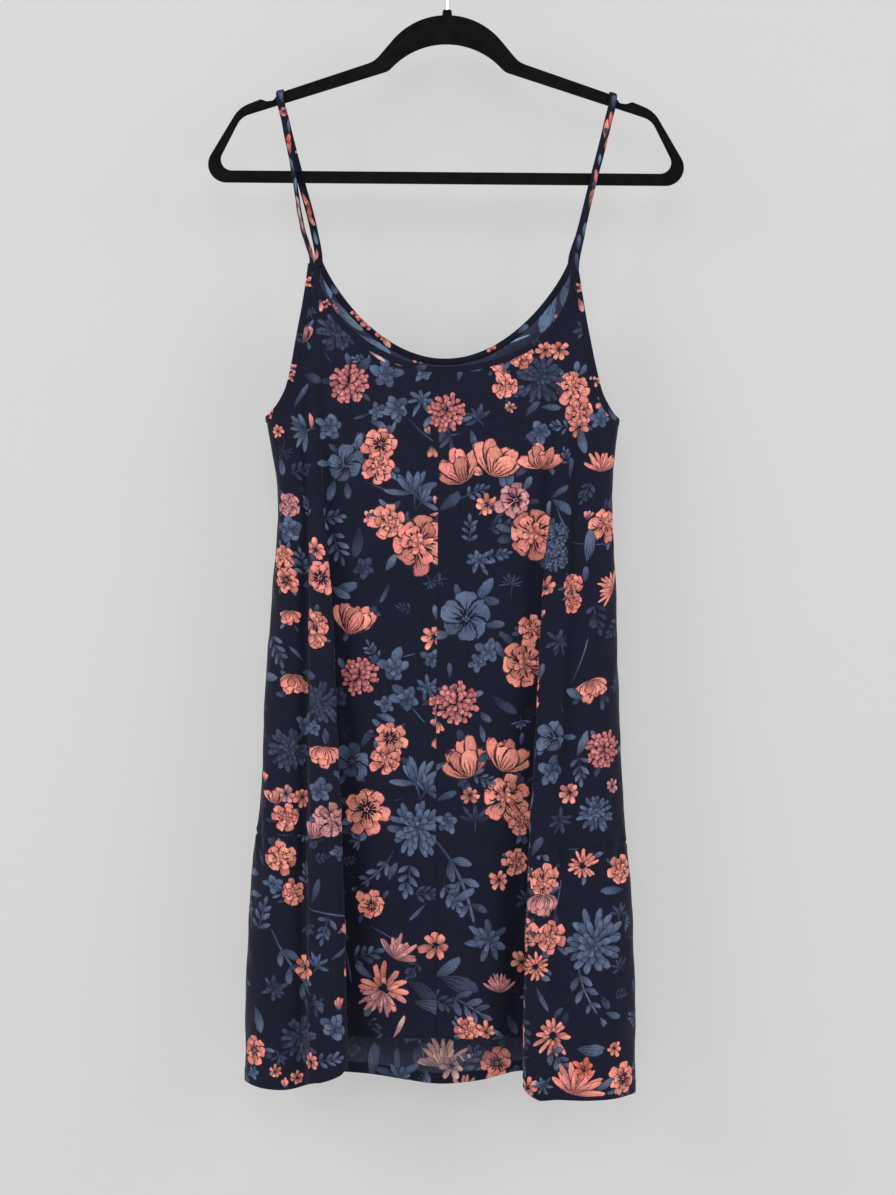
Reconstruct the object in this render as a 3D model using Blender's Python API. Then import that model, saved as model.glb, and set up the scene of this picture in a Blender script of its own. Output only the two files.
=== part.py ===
"""A sundress on thin straps, hanging from a flocked hanger.

The front faces -Y, +X is to the viewer's right and +Z is up. The origin is the top
of the inside of the hanger's hook, where a rail carries it. Heights on the garment
are given as a drop, in millimetres below that point.
"""

import math
from collections import namedtuple

import bmesh
import bpy
import numpy as np

MM = 0.001

# Sizes that drive the rest, in millimetres
HANGER_THICK = 5.0
HOOK_INNER_RADIUS = 20.0
HOOK_WIRE_RADIUS = 1.6
CLOTH_THICK = 1.2
BINDING_THICK = 2.2
BINDING_WIDTH = 6.5
STRAP_WIDTH = 7.5
STRAP_THICK = 1.5
SEAM_GAP = 0.3

# The flat cut: necklines, armhole, and the levels of the tier seam and the hem
Neckline = namedtuple("Neckline", "reach top foot bow round")
NECKS = {
    ("front", "left"): Neckline(reach=116.0, top=305.0, foot=400.0, bow=1.8, round=0.58),
    ("front", "right"): Neckline(reach=122.0, top=310.0, foot=400.0, bow=2.1, round=0.47),
    ("back", "left"): Neckline(reach=115.0, top=301.0, foot=391.2, bow=2.0, round=0.86),
    ("back", "right"): Neckline(reach=115.0, top=301.0, foot=391.2, bow=2.0, round=0.86),
}
ArmholePoint = namedtuple("ArmholePoint", "drop reach")
ARMHOLE = (
    ArmholePoint(312, 7.5),
    ArmholePoint(338, 12.0),
    ArmholePoint(357, 15.3),
    ArmholePoint(376, 19.0),
    ArmholePoint(395, 22.8),
    ArmholePoint(413, 27.2),
    ArmholePoint(423, 30.3),
    ArmholePoint(432, 34.6),
    ArmholePoint(440, 39.6),
    ArmholePoint(446, 46.0),
    ArmholePoint(447.5, 52.5),
)
Mark = namedtuple("Mark", "place seam hem")
LEVELS = {
    ("front", "left"): (
        Mark(0.0, 797.0, 1026.5),
        Mark(2.0, 797.0, 1026.5),
        Mark(3.4, 821.0, 1037.0),
        Mark(4.8, 821.0, 1037.0),
        Mark(6.2, 845.5, 1051.0),
        Mark(8.4, 841.0, 1062.5),
        Mark(11.0, 836.0, 1070.5),
        Mark(14.0, 836.5, 1064.5),
    ),
    ("front", "right"): (
        Mark(0.0, 797.0, 1026.5),
        Mark(2.0, 797.0, 1026.5),
        Mark(3.4, 824.0, 1045.0),
        Mark(4.8, 824.0, 1045.0),
        Mark(6.2, 855.0, 1066.0),
        Mark(8.4, 852.0, 1077.0),
        Mark(11.0, 846.5, 1077.0),
        Mark(14.0, 842.5, 1072.5),
    ),
    ("back", "left"): (
        Mark(0.0, 836.0, 1076.5),
        Mark(2.2, 836.0, 1065.5),
        Mark(7.0, 836.5, 1064.5),
    ),
    ("back", "right"): (
        Mark(0.0, 836.0, 1076.5),
        Mark(2.2, 837.0, 1064.5),
        Mark(7.0, 842.5, 1072.5),
    ),
}

# How the dress hangs. Each row is one level: the middles of the front and the back and
# the reach of each side from the hanger's middle, then how far each lies from its plane
Body = namedtuple("Body", "drop front_middle back_middle left right front back")
BODY = (
    Body(295, -4.5, 0.0, 165.0, 163.5, 7.5, 6.5),
    Body(395, -4.5, 0.0, 165.5, 163.5, 9.5, 8.0),
    Body(449, -4.7, 0.0, 166.5, 164.0, 11.0, 9.5),
    Body(470, -4.7, 0.0, 162.5, 161.0, 11.0, 10.5),
    Body(505, -4.8, 0.4, 156.3, 158.0, 11.0, 11.5),
    Body(618, -5.0, 1.0, 159.8, 162.5, 12.0, 14.0),
    Body(712, -5.0, 1.0, 164.7, 165.5, 12.0, 16.0),
    Body(826, -4.4, 1.0, 170.4, 171.6, 12.0, 18.0),
    Body(850, -4.2, 1.0, 173.6, 173.4, 12.0, 19.0),
    Body(882, -3.8, 1.0, 176.4, 177.2, 12.0, 20.0),
    Body(955, -3.0, 1.0, 179.7, 181.0, 12.0, 22.0),
    Body(1110, -1.5, 1.0, 180.5, 183.2, 12.0, 25.0),
)
Fold = namedtuple("Fold", "drop edge root tuck lift lobe dip")
LEFT_FOLD = (
    Fold(295, 115.0, 127.0, 0.0, 0.0, 0.0, 0.0),
    Fold(360, 116.5, 125.5, 0.0, 0.5, 0.0, 0.3),
    Fold(420, 115.6, 125.3, 0.0, 4.0, 2.0, 2.0),
    Fold(505, 112.3, 125.0, 2.0, 8.5, 5.0, 3.5),
    Fold(618, 102.5, 123.9, 8.0, 15.0, 9.0, 5.0),
    Fold(712, 97.8, 123.3, 13.0, 20.0, 13.0, 6.0),
    Fold(826, 91.9, 123.2, 17.0, 25.0, 18.0, 7.0),
    Fold(955, 86.5, 123.0, 20.0, 30.0, 23.0, 7.0),
    Fold(1110, 83.5, 123.0, 22.0, 34.0, 28.0, 6.0),
)
RIGHT_FOLD = (
    Fold(295, 103.0, 121.0, 0.0, 0.0, 0.0, 0.0),
    Fold(390, 103.5, 120.5, 0.0, 0.3, 0.0, 0.0),
    Fold(440, 103.0, 119.3, 1.0, 4.0, 2.5, 1.5),
    Fold(505, 99.8, 117.5, 3.0, 8.0, 5.5, 3.0),
    Fold(618, 92.2, 114.8, 8.0, 14.0, 10.5, 4.0),
    Fold(712, 88.4, 111.0, 13.0, 19.0, 15.5, 4.0),
    Fold(826, 82.6, 106.6, 17.0, 24.5, 21.5, 3.0),
    Fold(955, 78.5, 103.4, 20.0, 30.0, 28.0, 2.0),
    Fold(1110, 77.5, 101.5, 22.0, 35.0, 33.5, 2.0),
)
Wave = namedtuple("Wave", "share left right")
BACK_WAVES = (
    Wave(0.24, 3.0, -2.0),
    Wave(0.42, -5.0, 5.0),
    Wave(0.60, 5.0, -4.0),
    Wave(0.78, -3.0, 4.0),
    Wave(0.92, 0.0, 0.0),
)
WAVES_START, WAVES_FULL = 420.0, 1000.0

# Where each strap runs between the hanger and its corner, as (x, forward, drop)
ARM_CROSSING_X = 156.0
STRAP_TOP_DROP = 142.6
STRAPS = {
    "left": {
        "front": ((-150.6, 3.9, 172.0), (-141.6, 4.9, 223.0), (-132.0, 6.4, 273.0)),
        "back": ((-150.2, 3.9, 172.0), (-137.0, 4.6, 224.0), (-125.2, 5.4, 272.0)),
    },
    "right": {
        "front": ((150.8, 3.9, 172.0), (138.7, 4.9, 223.0), (127.4, 6.4, 273.0)),
        "back": ((150.8, 3.9, 172.0), (138.2, 4.6, 224.0), (126.6, 5.4, 272.0)),
    },
}
STRAP_TILT = 15.0

# The hanger's outline on one side, as (distance out, drop, corner radius)
HANGER_OUTER = (
    (0.0, 33.4, 66.5),
    (67.7, 114.1, 22.0),
    (157.0, 144.5, 3.0),
    (162.5, 151.6, 3.0),
    (168.5, 152.4, 3.0),
    (174.0, 150.4, 4.0),
    (194.3, 158.6, 28.0),
    (235.8, 228.7, 17.1),
)
HANGER_INNER = (
    (0.0, 68.5, 70.2),
    (54.7, 123.3, 12.0),
    (192.2, 167.1, 18.0),
    (217.5, 217.4, 10.5),
)
BOSS_TOP = 65.4
BOSS_FOOT = 78.0
BOSS_TOP_RADIUS = 4.2
BOSS_FOOT_RADIUS = 5.4
BORE_DEPTH = 11.0

FRONT_SPANS = (3, 3, 2, 2, 2, 2, 2, 2, 2, 2, 2, 3, 3, 2)
BACK_SPANS = (3, 3, 3, 3, 3, 2, 2)
NECK_SHARE = 0.55
UPPER_ROWS = 13
TIER_ROWS = 6
UP_SIDE = {"left": -1.0, "right": 1.0}


# Materials
def material(name, colour, roughness, metallic=0.0):
    made = bpy.data.materials.new(name)
    made.use_nodes = True
    shader = made.node_tree.nodes["Principled BSDF"]
    shader.inputs["Base Color"].default_value = (*colour, 1.0)
    shader.inputs["Roughness"].default_value = roughness
    shader.inputs["Metallic"].default_value = metallic
    return made


def add_object(name, points, faces, finish):
    """One closed mesh from points in millimetres, its faces pointing outwards."""
    mesh = bpy.data.meshes.new(name)
    mesh.from_pydata([tuple(MM * c for c in p) for p in points], [], faces)
    shape = bmesh.new()
    shape.from_mesh(mesh)
    bmesh.ops.recalc_face_normals(shape, faces=shape.faces)
    shape.to_mesh(mesh)
    shape.free()
    mesh.materials.append(finish)
    mesh.shade_smooth()
    mesh.set_sharp_from_angle(angle=math.radians(40))
    made = bpy.data.objects.new(name, mesh)
    bpy.context.scene.collection.objects.link(made)
    return made


# Smooth curves
def hermite(before, start, end, after, share):
    """A point between start and end on the smooth curve through all four."""
    length = np.maximum(np.linalg.norm(end - start, axis=-1, keepdims=True), 1e-6)
    back = np.maximum(np.linalg.norm(start - before, axis=-1, keepdims=True), 1e-6)
    on = np.maximum(np.linalg.norm(after - end, axis=-1, keepdims=True), 1e-6)
    leave = ((start - before) / back * length + (end - start) / length * back) / (back + length)
    reach = ((end - start) / length * on + (after - end) / on * length) / (on + length)
    two, three = share**2, share**3
    return (
        (2 * three - 3 * two + 1) * start
        + (three - 2 * two + share) * leave * length
        + (3 * two - 2 * three) * end
        + (three - two) * reach * length
    )


def along(points, place):
    """Points on the smooth curve through the control points, at places 0 to their count less one."""
    last = len(points) - 1
    span = np.clip(np.floor(place).astype(int), 0, last - 1)
    share = (place - span)[..., None]
    first = np.clip(span - 1, 0, last)
    final = np.clip(span + 2, 0, last)
    rows = np.arange(points.shape[1])
    before = np.where(
        (span == 0)[..., None], 2 * points[0, rows] - points[1, rows], points[first, rows]
    )
    after = np.where(
        (span == last - 1)[..., None],
        2 * points[last, rows] - points[last - 1, rows],
        points[final, rows],
    )
    return hermite(before, points[span, rows], points[span + 1, rows], after, share)


def column_of(rows, field, drop):
    """A column of a table at any drop, eased between its rows."""
    drops = np.array([row.drop for row in rows], float)
    values = np.array([getattr(row, field) for row in rows], float)
    slopes = np.gradient(values, drops)
    place = np.clip(drop, drops[0], drops[-1])
    row = np.clip(np.searchsorted(drops, place) - 1, 0, len(rows) - 2)
    size = drops[row + 1] - drops[row]
    share = (place - drops[row]) / size
    two, three = share**2, share**3
    return (
        (2 * three - 3 * two + 1) * values[row]
        + (three - 2 * two + share) * slopes[row] * size
        + (3 * two - 2 * three) * values[row + 1]
        + (three - two) * slopes[row + 1] * size
    )


# The cloth's cross sections
def front_section(side, drop):
    """Control points of the front from its centre seam out to the side, as (out, forward).

    The cloth runs flat from the centre, tucks under the fold's edge, turns, comes back
    over itself to that edge and crosses the crest to the fold's root, the lobe and the side.
    """
    rows = LEFT_FOLD if side == "left" else RIGHT_FOLD
    edge, root, tuck, lift, lobe, dip = (
        column_of(rows, field, drop) for field in ("edge", "root", "tuck", "lift", "lobe", "dip")
    )
    middle = UP_SIDE[side] * column_of(BODY, "front_middle", drop)
    flat = column_of(BODY, "front", drop)
    half = column_of(BODY, side, drop) - middle
    edge, root = edge - middle, root - middle
    width, outer = root - edge, half - root
    ease = 0.45 * width * np.maximum(1.0 - tuck / 8.0, 0.0)
    return stacked(
        (0 * half, flat),
        (0.5 * edge, flat),
        (edge - 2 - ease, flat + 0.02 * lift),
        (edge + 0.75 * tuck - 0.65 * ease, flat + 0.10 * lift),
        (edge + tuck - 0.35 * ease, flat + 0.30 * lift),
        (edge + 0.6 * tuck, flat + 0.52 * lift),
        (edge + 0.35 * ease, flat + 0.80 * lift),
        (edge + 0.12 * width + 0.5 * ease, flat + lift),
        (edge + 0.55 * width, flat + 1.04 * lift),
        (root - 0.15 * width, flat + 0.97 * lift),
        (root + 2, flat + lobe - dip),
        (root + 0.35 * outer, flat + lobe),
        (root + 0.75 * outer, flat + 0.85 * lobe),
        (half - 1.2, 0.45 * (flat + lobe)),
        (half, 0 * half),
    )


def back_section(side, drop):
    """Control points of the back from its centre out to the side, as (out, forward)."""
    half = column_of(BODY, side, drop) - UP_SIDE[side] * column_of(BODY, "back_middle", drop)
    flat = column_of(BODY, "back", drop)
    grown = np.clip((drop - WAVES_START) / (WAVES_FULL - WAVES_START), 0, 1)
    waves = [(wave.share * half, -flat - getattr(wave, side) * grown) for wave in BACK_WAVES]
    return stacked((0 * half, -flat), *waves, (half - 1.2, -0.45 * flat), (half, 0 * half))


def stacked(*points):
    return np.stack([np.stack(point, -1) for point in points])


class Sheet:
    """One half of the front or the back, as a smooth surface over (place, drop)."""

    def __init__(self, face, side):
        self.face, self.side = face, side
        self.section = front_section if face == "front" else back_section
        self.spans = FRONT_SPANS if face == "front" else BACK_SPANS
        self.neck = NECKS[face, side]
        self.last = len(self.spans)
        self.drops = np.arange(290.0, 1112.0, 4.0)
        self.places = np.linspace(0, self.last, 12 * self.last + 1)
        grid = self.outline(self.places[:, None] + 0 * self.drops, self.drops + 0 * self.places[:, None])
        steps = np.linalg.norm(np.diff(grid, axis=0), axis=-1)
        self.reach = np.concatenate([np.zeros((1, len(self.drops))), np.cumsum(steps, 0)])

    def outline(self, place, drop):
        shape = np.shape(place)
        place, drop = np.ravel(place), np.ravel(drop)
        return along(self.section(self.side, drop), place).reshape(*shape, 2)

    def points(self, place, drop):
        """Places on the cloth's middle surface, in millimetres."""
        place, drop = np.broadcast_arrays(np.asarray(place, float), np.asarray(drop, float))
        found = self.outline(place, drop)
        middle = column_of(BODY, self.face + "_middle", drop)
        return np.stack([middle + UP_SIDE[self.side] * found[..., 0], -found[..., 1], -drop], -1)

    def normals(self, place, drop):
        """Directions out of the garment, away from its inside."""
        near = 0.02
        low = np.clip(place - near, 0, self.last)
        high = np.clip(place + near, 0, self.last)
        across = self.points(high, drop) - self.points(low, drop)
        down = self.points(place, drop + 1.0) - self.points(place, drop - 1.0)
        away = np.cross(across, down) * UP_SIDE[self.side]
        away *= 1.0 if self.face == "front" else -1.0
        return -away / np.linalg.norm(away, axis=-1, keepdims=True)

    def spread(self, drop):
        """How far out each of the surface's places lies when the cloth is flat."""
        row = int(np.clip((drop - self.drops[0]) // 4, 0, len(self.drops) - 2))
        share = (drop - self.drops[row]) / 4
        return self.reach[:, row] * (1 - share) + self.reach[:, row + 1] * share

    def place_at(self, out, drop):
        """The place on the cloth that lies this far out when flat."""
        return float(np.interp(out, self.spread(drop), self.places))

    def trimmed(self, place, drop):
        """A place moved off the side seam or the centre seam by half the gap."""
        if place == self.last:
            return self.place_at(self.spread(drop)[-1] - SEAM_GAP / 2, drop)
        if place == 0 and self.face == "front":
            return self.place_at(SEAM_GAP / 2, drop)
        return place

    def edge_lines(self):
        """The neckline from its middle and the armhole from its foot, each up to the strap.

        Both are arrays of (out, drop) on the flat cloth, with the directions into the cloth.
        """
        neck = self.neck
        share = np.sin(np.linspace(0, math.pi / 2, 200))
        drops = neck.top + (neck.foot - neck.top) * (1 - share**neck.bow) ** neck.round
        line = np.stack([neck.reach * share, drops], -1)
        reach = np.array([p.reach for p in ARMHOLE], float)
        drops = np.array([p.drop for p in ARMHOLE], float)
        drops[0] = neck.top
        scale = (self.spread(drops[-1])[-1] - neck.reach) / reach[-1]
        reach = reach * (1 + (scale - 1) * (reach / reach[-1]) ** 2)
        control = np.stack([neck.reach + reach, drops], -1)[:, None]
        arm = along(control, np.linspace(0, len(ARMHOLE) - 1, 200)[:, None])[::-1, 0]
        return [(found, into_cloth(found)) for found in (line, arm)]

    def bands(self, counts):
        """Columns of the two bound edges, each a list of Column, from its foot to the strap."""
        (neck, neck_in), (arm, arm_in) = self.edge_lines()
        inner = [line + BINDING_WIDTH * way for line, way in ((neck, neck_in), (arm, arm_in))]
        apart = np.linalg.norm(inner[0][:, None] - inner[1][None], axis=-1)
        meet = np.unravel_index(np.argmin(apart), apart.shape)
        tip = (inner[0][meet[0]] + inner[1][meet[1]]) / 2
        found = []
        for line, way, middle, end, count, sign in (
            (neck, neck_in, inner[0], meet[0], counts[0], 1.0),
            (arm, arm_in, inner[1], meet[1], counts[1], -1.0),
        ):
            length = np.concatenate([[0], np.cumsum(np.linalg.norm(np.diff(middle[: end + 1], axis=0), axis=1))])
            at = np.interp(np.linspace(0, length[-1], count + 1), length, np.arange(end + 1))
            rows = np.rint(at).astype(int)
            half = SEAM_GAP / 2
            columns = [
                Column(line[i], middle[i] - half * way[i], middle[i] + half * way[i]) for i in rows
            ]
            other = (arm_in[meet[1]], neck_in[meet[0]])[sign < 0]
            beside = np.array([sign, 0.0])
            columns[-1] = Column(
                line[end],
                tip - mitre(way[end], beside) * half,
                tip + mitre(way[end], other) * half,
            )
            for i in np.rint(np.linspace(end, len(line) - 1, 3)[1:]).astype(int):
                columns.append(Column(line[i], np.array([tip[0] - sign * half, line[i][1]]), None))
            found.append(columns)
        return found


Column = namedtuple("Column", "edge inner panel_top")


def into_cloth(line):
    """Unit directions square to a bound edge, into the cloth. Each line runs up to the strap."""
    way = np.gradient(line, axis=0)
    way /= np.linalg.norm(way, axis=1, keepdims=True)
    square = np.stack([-way[:, 1], way[:, 0]], -1)
    square *= np.sign(np.sum(square[:, 1]))
    square[0] = 0.0, 1.0
    return square


def mitre(first, second):
    """The direction that moves a corner so that both its edges move by one."""
    return (first + second) / (1 + first @ second)


def eased(value):
    """A smooth step from 0 to 1."""
    share = min(max(value, 0.0), 1.0)
    return share**2 * (3 - 2 * share)


def level(sheet, kind, place):
    """The drop of the seam or the hem at a place, eased between the marks."""
    marks = LEVELS[sheet.face, sheet.side]
    for start, end in zip(marks, marks[1:]):
        if place <= end.place:
            break
    share = eased((place - start.place) / (end.place - start.place))
    return getattr(start, kind) * (1 - share) + getattr(end, kind) * share


def steepness(sheet, place):
    """How much longer than its width the seam's gap stands upright where the seam slopes."""
    low, high = max(place - 0.25, 0), min(place + 0.25, sheet.last)
    rise = level(sheet, "seam", high) - level(sheet, "seam", low)
    run = np.interp([low, high], sheet.places, sheet.spread(level(sheet, "seam", place)))
    return math.hypot(1.0, 1.3 * rise / (run[1] - run[0]))


def columns(sheet):
    """Places across the cloth, close together where it folds."""
    places = [span + step / count for span, count in enumerate(sheet.spans) for step in range(count)]
    return places + [sheet.last]


def level_rows(sheet, top, bottom, rows):
    """Rows of (place, drop) down each column between two levels."""
    grid = []
    for place in columns(sheet):
        drops = top(place) + (bottom(place) - top(place)) * np.linspace(0, 1, rows + 1)
        grid.append([(sheet.trimmed(place, drop), drop) for drop in drops])
    return grid


def upper_rows(sheet, bottom, rows):
    """Rows that start at the bound edges and ease over to the tier's columns."""
    low = columns(sheet)
    neck_count = round(NECK_SHARE * (len(low) - 1))
    neck, arm = sheet.bands((neck_count, len(low) - 1 - neck_count))
    tops = [column.panel_top for column in neck[: neck_count + 1]]
    tops += [column.panel_top for column in arm[: len(low) - 1 - neck_count]][::-1]
    grid = []
    for place, (out, high) in zip(low, tops):
        start = sheet.place_at(out, high)
        start = place if place in (0, sheet.last) else start
        column = []
        for share in np.linspace(0, 1, rows + 1):
            drop = high + (bottom(place) - high) * share
            here = start + (place - start) * eased(share / 0.6)
            column.append((sheet.trimmed(here, drop), drop))
        grid.append(column)
    return grid


# Cloth walls
def wall(grid, normals, thick):
    """Points and faces of a wall round a grid of its middle points."""
    across, down = grid.shape[:2]
    outer = grid + normals * thick / 2
    inner = grid - normals * thick / 2
    points = np.concatenate([outer.reshape(-1, 3), inner.reshape(-1, 3)])
    count = across * down
    faces = []
    for i in range(across - 1):
        for j in range(down - 1):
            a, b = i * down + j, (i + 1) * down + j
            faces.append((a, b, b + 1, a + 1))
            faces.append((count + a, count + a + 1, count + b + 1, count + b))
    rim = [(i * down, (i + 1) * down) for i in range(across - 1)]
    rim += [((across - 1) * down + j, (across - 1) * down + j + 1) for j in range(down - 1)]
    rim += [((i + 1) * down + down - 1, i * down + down - 1) for i in range(across - 2, -1, -1)]
    rim += [(j + 1, j) for j in range(down - 2, -1, -1)]
    for a, b in rim:
        faces.append((a, count + a, count + b, b))
    return points, faces


def panel(name, pieces, finish, thick=CLOTH_THICK):
    """A cloth piece. Each of its parts is a sheet and columns of (place, drop) on it."""
    grid, normals = [], []
    for sheet, part in pieces:
        for column in part:
            place, drop = np.array(column, float).T
            grid.append(sheet.points(place, drop))
            normals.append(sheet.normals(place, drop))
    points, faces = wall(np.array(grid), np.array(normals), thick)
    return add_object(name, points, faces, finish)


def make_dress(sheets, finish):
    half = SEAM_GAP / 2
    parts = {}
    for key, sheet in sheets.items():

        def above(place, sheet=sheet):
            return level(sheet, "seam", place) - half * steepness(sheet, place)

        def below(place, sheet=sheet):
            return level(sheet, "seam", place) + half * steepness(sheet, place)

        def end(place, sheet=sheet):
            return level(sheet, "hem", place)

        parts[key] = (
            upper_rows(sheet, above, UPPER_ROWS),
            level_rows(sheet, below, end, TIER_ROWS),
        )
    for index, kind in enumerate(("panel", "tier")):
        for side in ("left", "right"):
            own = parts["front", side][index]
            panel(f"front_{side}_{kind}", [(sheets["front", side], own)], finish)
        left, right = parts["back", "left"][index], parts["back", "right"][index]
        whole = [(sheets["back", "left"], left[::-1]), (sheets["back", "right"], right[1:])]
        panel(f"back_{kind}", whole, finish)


def make_bindings(sheets, finish):
    bands = {}
    for key, sheet in sheets.items():
        low = len(columns(sheet)) - 1
        neck_count = round(NECK_SHARE * low)
        for name, band in zip(("neck", "arm"), sheet.bands((neck_count, low - neck_count))):
            bands[key, name] = [
                [(sheet.place_at(*point), point[1]) for point in (column.edge, column.inner)]
                for column in band
            ]
    for face in ("front", "back"):
        left, right = (face, "left"), (face, "right")
        whole = [
            (sheets[left], bands[left, "neck"][::-1]),
            (sheets[right], bands[right, "neck"][1:]),
        ]
        panel(f"{face}_neck_binding", whole, finish, BINDING_THICK)
    for side in ("left", "right"):
        front, back = ("front", side), ("back", side)
        whole = [
            (sheets[front], bands[front, "arm"][::-1]),
            (sheets[back], bands[back, "arm"][1:]),
        ]
        panel(f"{side}_armhole_binding", whole, finish, BINDING_THICK)


# Straps
def strap_path(side, sheets):
    """Middle line of a strap from its front corner, over the hanger, to its back corner."""
    sign = UP_SIDE[side]
    points = []
    for face, outward in (("front", -1.0), ("back", 1.0)):
        sheet = sheets[face, side]
        middle = sheet.neck.reach + STRAP_WIDTH / 2
        place = sheet.place_at(middle, sheet.neck.top)
        x, y, z = sheet.points(place, sheet.neck.top)
        run = [(x, y, z + SEAM_GAP)]
        run += [(px, outward * forward, -drop) for px, forward, drop in STRAPS[side][face][::-1]]
        points.append(run)
    wrap = HANGER_THICK / 2 + SEAM_GAP + STRAP_THICK / 2
    top = -(STRAP_TOP_DROP + wrap - STRAP_THICK / 2)
    over = [
        (
            sign * ARM_CROSSING_X,
            -wrap * math.cos(turn),
            top + wrap * math.sin(turn),
        )
        for turn in np.linspace(0, math.pi, 7)
    ]
    return np.array(points[0] + over + points[1][::-1])


def make_strap(side, sheets, finish):
    control = strap_path(side, sheets)[:, None]
    count = 52
    path = along(control, np.linspace(0, len(control) - 1, count)[:, None])[:, 0]
    way = np.gradient(path, axis=0)
    way /= np.linalg.norm(way, axis=1, keepdims=True)
    tilt = math.radians(STRAP_TILT)
    wide = np.array([math.cos(tilt), 0.0, -UP_SIDE[side] * math.sin(tilt)])
    lean = np.clip((-path[:, 2] - 230.0) / 80.0, 0, 1)[:, None]
    wide = wide * (1 - lean) + np.array([1.0, 0.0, 0.0]) * lean
    wide = wide - way * np.sum(wide * way, axis=1, keepdims=True) * (1 - lean)
    wide /= np.linalg.norm(wide, axis=1, keepdims=True)
    half = STRAP_WIDTH / 2
    grid = np.stack([path - wide * half, path + wide * half], 0)
    normals = np.cross(way, wide)
    points, faces = wall(grid, np.stack([normals, normals], 0), STRAP_THICK)
    return add_object(f"{side}_strap", points, faces, finish)


# Hanger
def rounded(corners, steps=3):
    """An outline through corners given as (x, z, radius), each turned with an arc."""
    points = []
    count = len(corners)
    for i, (x, z, radius) in enumerate(corners):
        here = np.array([x, z])
        back = np.array(corners[i - 1][:2]) - here
        on = np.array(corners[(i + 1) % count][:2]) - here
        back, on = back / np.linalg.norm(back), on / np.linalg.norm(on)
        half = math.acos(max(-1.0, min(1.0, float(back @ on)))) / 2
        bisector = (back + on) / np.linalg.norm(back + on)
        centre = here + bisector * radius / math.sin(half)
        reach = radius / math.tan(half)
        first, last = here + back * reach - centre, here + on * reach - centre
        turn = math.atan2(first[0] * last[1] - first[1] * last[0], float(first @ last))
        pieces = max(2, round(steps * abs(turn) * max(1.0, radius / 20.0)))
        for step in range(pieces + 1):
            angle = turn * step / pieces
            c, s = math.cos(angle), math.sin(angle)
            points.append(centre + np.array([c * first[0] - s * first[1], s * first[0] + c * first[1]]))
    return points


def mirrored(half):
    """A whole outline from one side's corners. The first corner is on the middle line."""
    right = [(x, -drop, radius) for x, drop, radius in half]
    left = [(-x, z, radius) for x, z, radius in right[:0:-1]]
    return right + left


def make_hanger(finish):
    """The frame is a flat outline with its opening, given thickness by a curve's extrusion."""
    curve = bpy.data.curves.new("hanger", "CURVE")
    curve.dimensions = "2D"
    curve.fill_mode = "BOTH"
    round_edge = 1.0
    curve.extrude = (HANGER_THICK / 2 - round_edge) * MM
    curve.bevel_depth = round_edge * MM
    curve.bevel_resolution = 0
    curve.offset = -round_edge * MM
    for half in (HANGER_OUTER, HANGER_INNER):
        outline = rounded(mirrored(half))
        spline = curve.splines.new("POLY")
        spline.points.add(len(outline) - 1)
        spline.use_cyclic_u = True
        for point, (x, z) in zip(spline.points, outline):
            point.co = (x * MM, z * MM, 0.0, 1.0)
    rough = bpy.data.objects.new("rough_frame", curve)
    bpy.context.scene.collection.objects.link(rough)
    rough.rotation_euler = (math.radians(90), 0, 0)
    bpy.context.view_layer.update()
    mesh = bpy.data.meshes.new_from_object(rough.evaluated_get(bpy.context.evaluated_depsgraph_get()))
    mesh.transform(rough.matrix_world)
    bpy.data.objects.remove(rough)
    shape = bmesh.new()
    shape.from_mesh(mesh)
    bmesh.ops.remove_doubles(shape, verts=shape.verts, dist=1e-6)
    bmesh.ops.recalc_face_normals(shape, faces=shape.faces)
    shape.to_mesh(mesh)
    shape.free()
    mesh.materials.clear()
    mesh.materials.append(finish)
    frame = bpy.data.objects.new("hanger_frame", mesh)
    bpy.context.scene.collection.objects.link(frame)
    boss = turned("boss", ((BOSS_TOP_RADIUS, BOSS_TOP), (BOSS_FOOT_RADIUS, BOSS_FOOT)), finish)
    bore_radius = HOOK_WIRE_RADIUS + SEAM_GAP
    bore = turned(
        "bore", ((bore_radius, BOSS_TOP - 3), (bore_radius, BOSS_TOP + BORE_DEPTH)), finish
    )
    for other, operation in ((boss, "UNION"), (bore, "DIFFERENCE")):
        cut = frame.modifiers.new(other.name, "BOOLEAN")
        cut.object = other
        cut.operation = operation
        cut.solver = "EXACT"
        other.hide_render = True
        other.display_type = "WIRE"
    return frame


def turned(name, profile, finish, sides=16):
    """A plain turned solid between two levels, given as (radius, drop)."""
    points = []
    for radius, drop in profile:
        for step in range(sides):
            turn = 2 * math.pi * step / sides
            points.append((radius * math.cos(turn), radius * math.sin(turn), -drop))
    faces = [tuple(range(sides)), tuple(range(sides, 2 * sides))[::-1]]
    for step in range(sides):
        on = (step + 1) % sides
        faces.append((step, sides + step, sides + on, on))
    return add_object(name, points, faces, finish)


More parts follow.
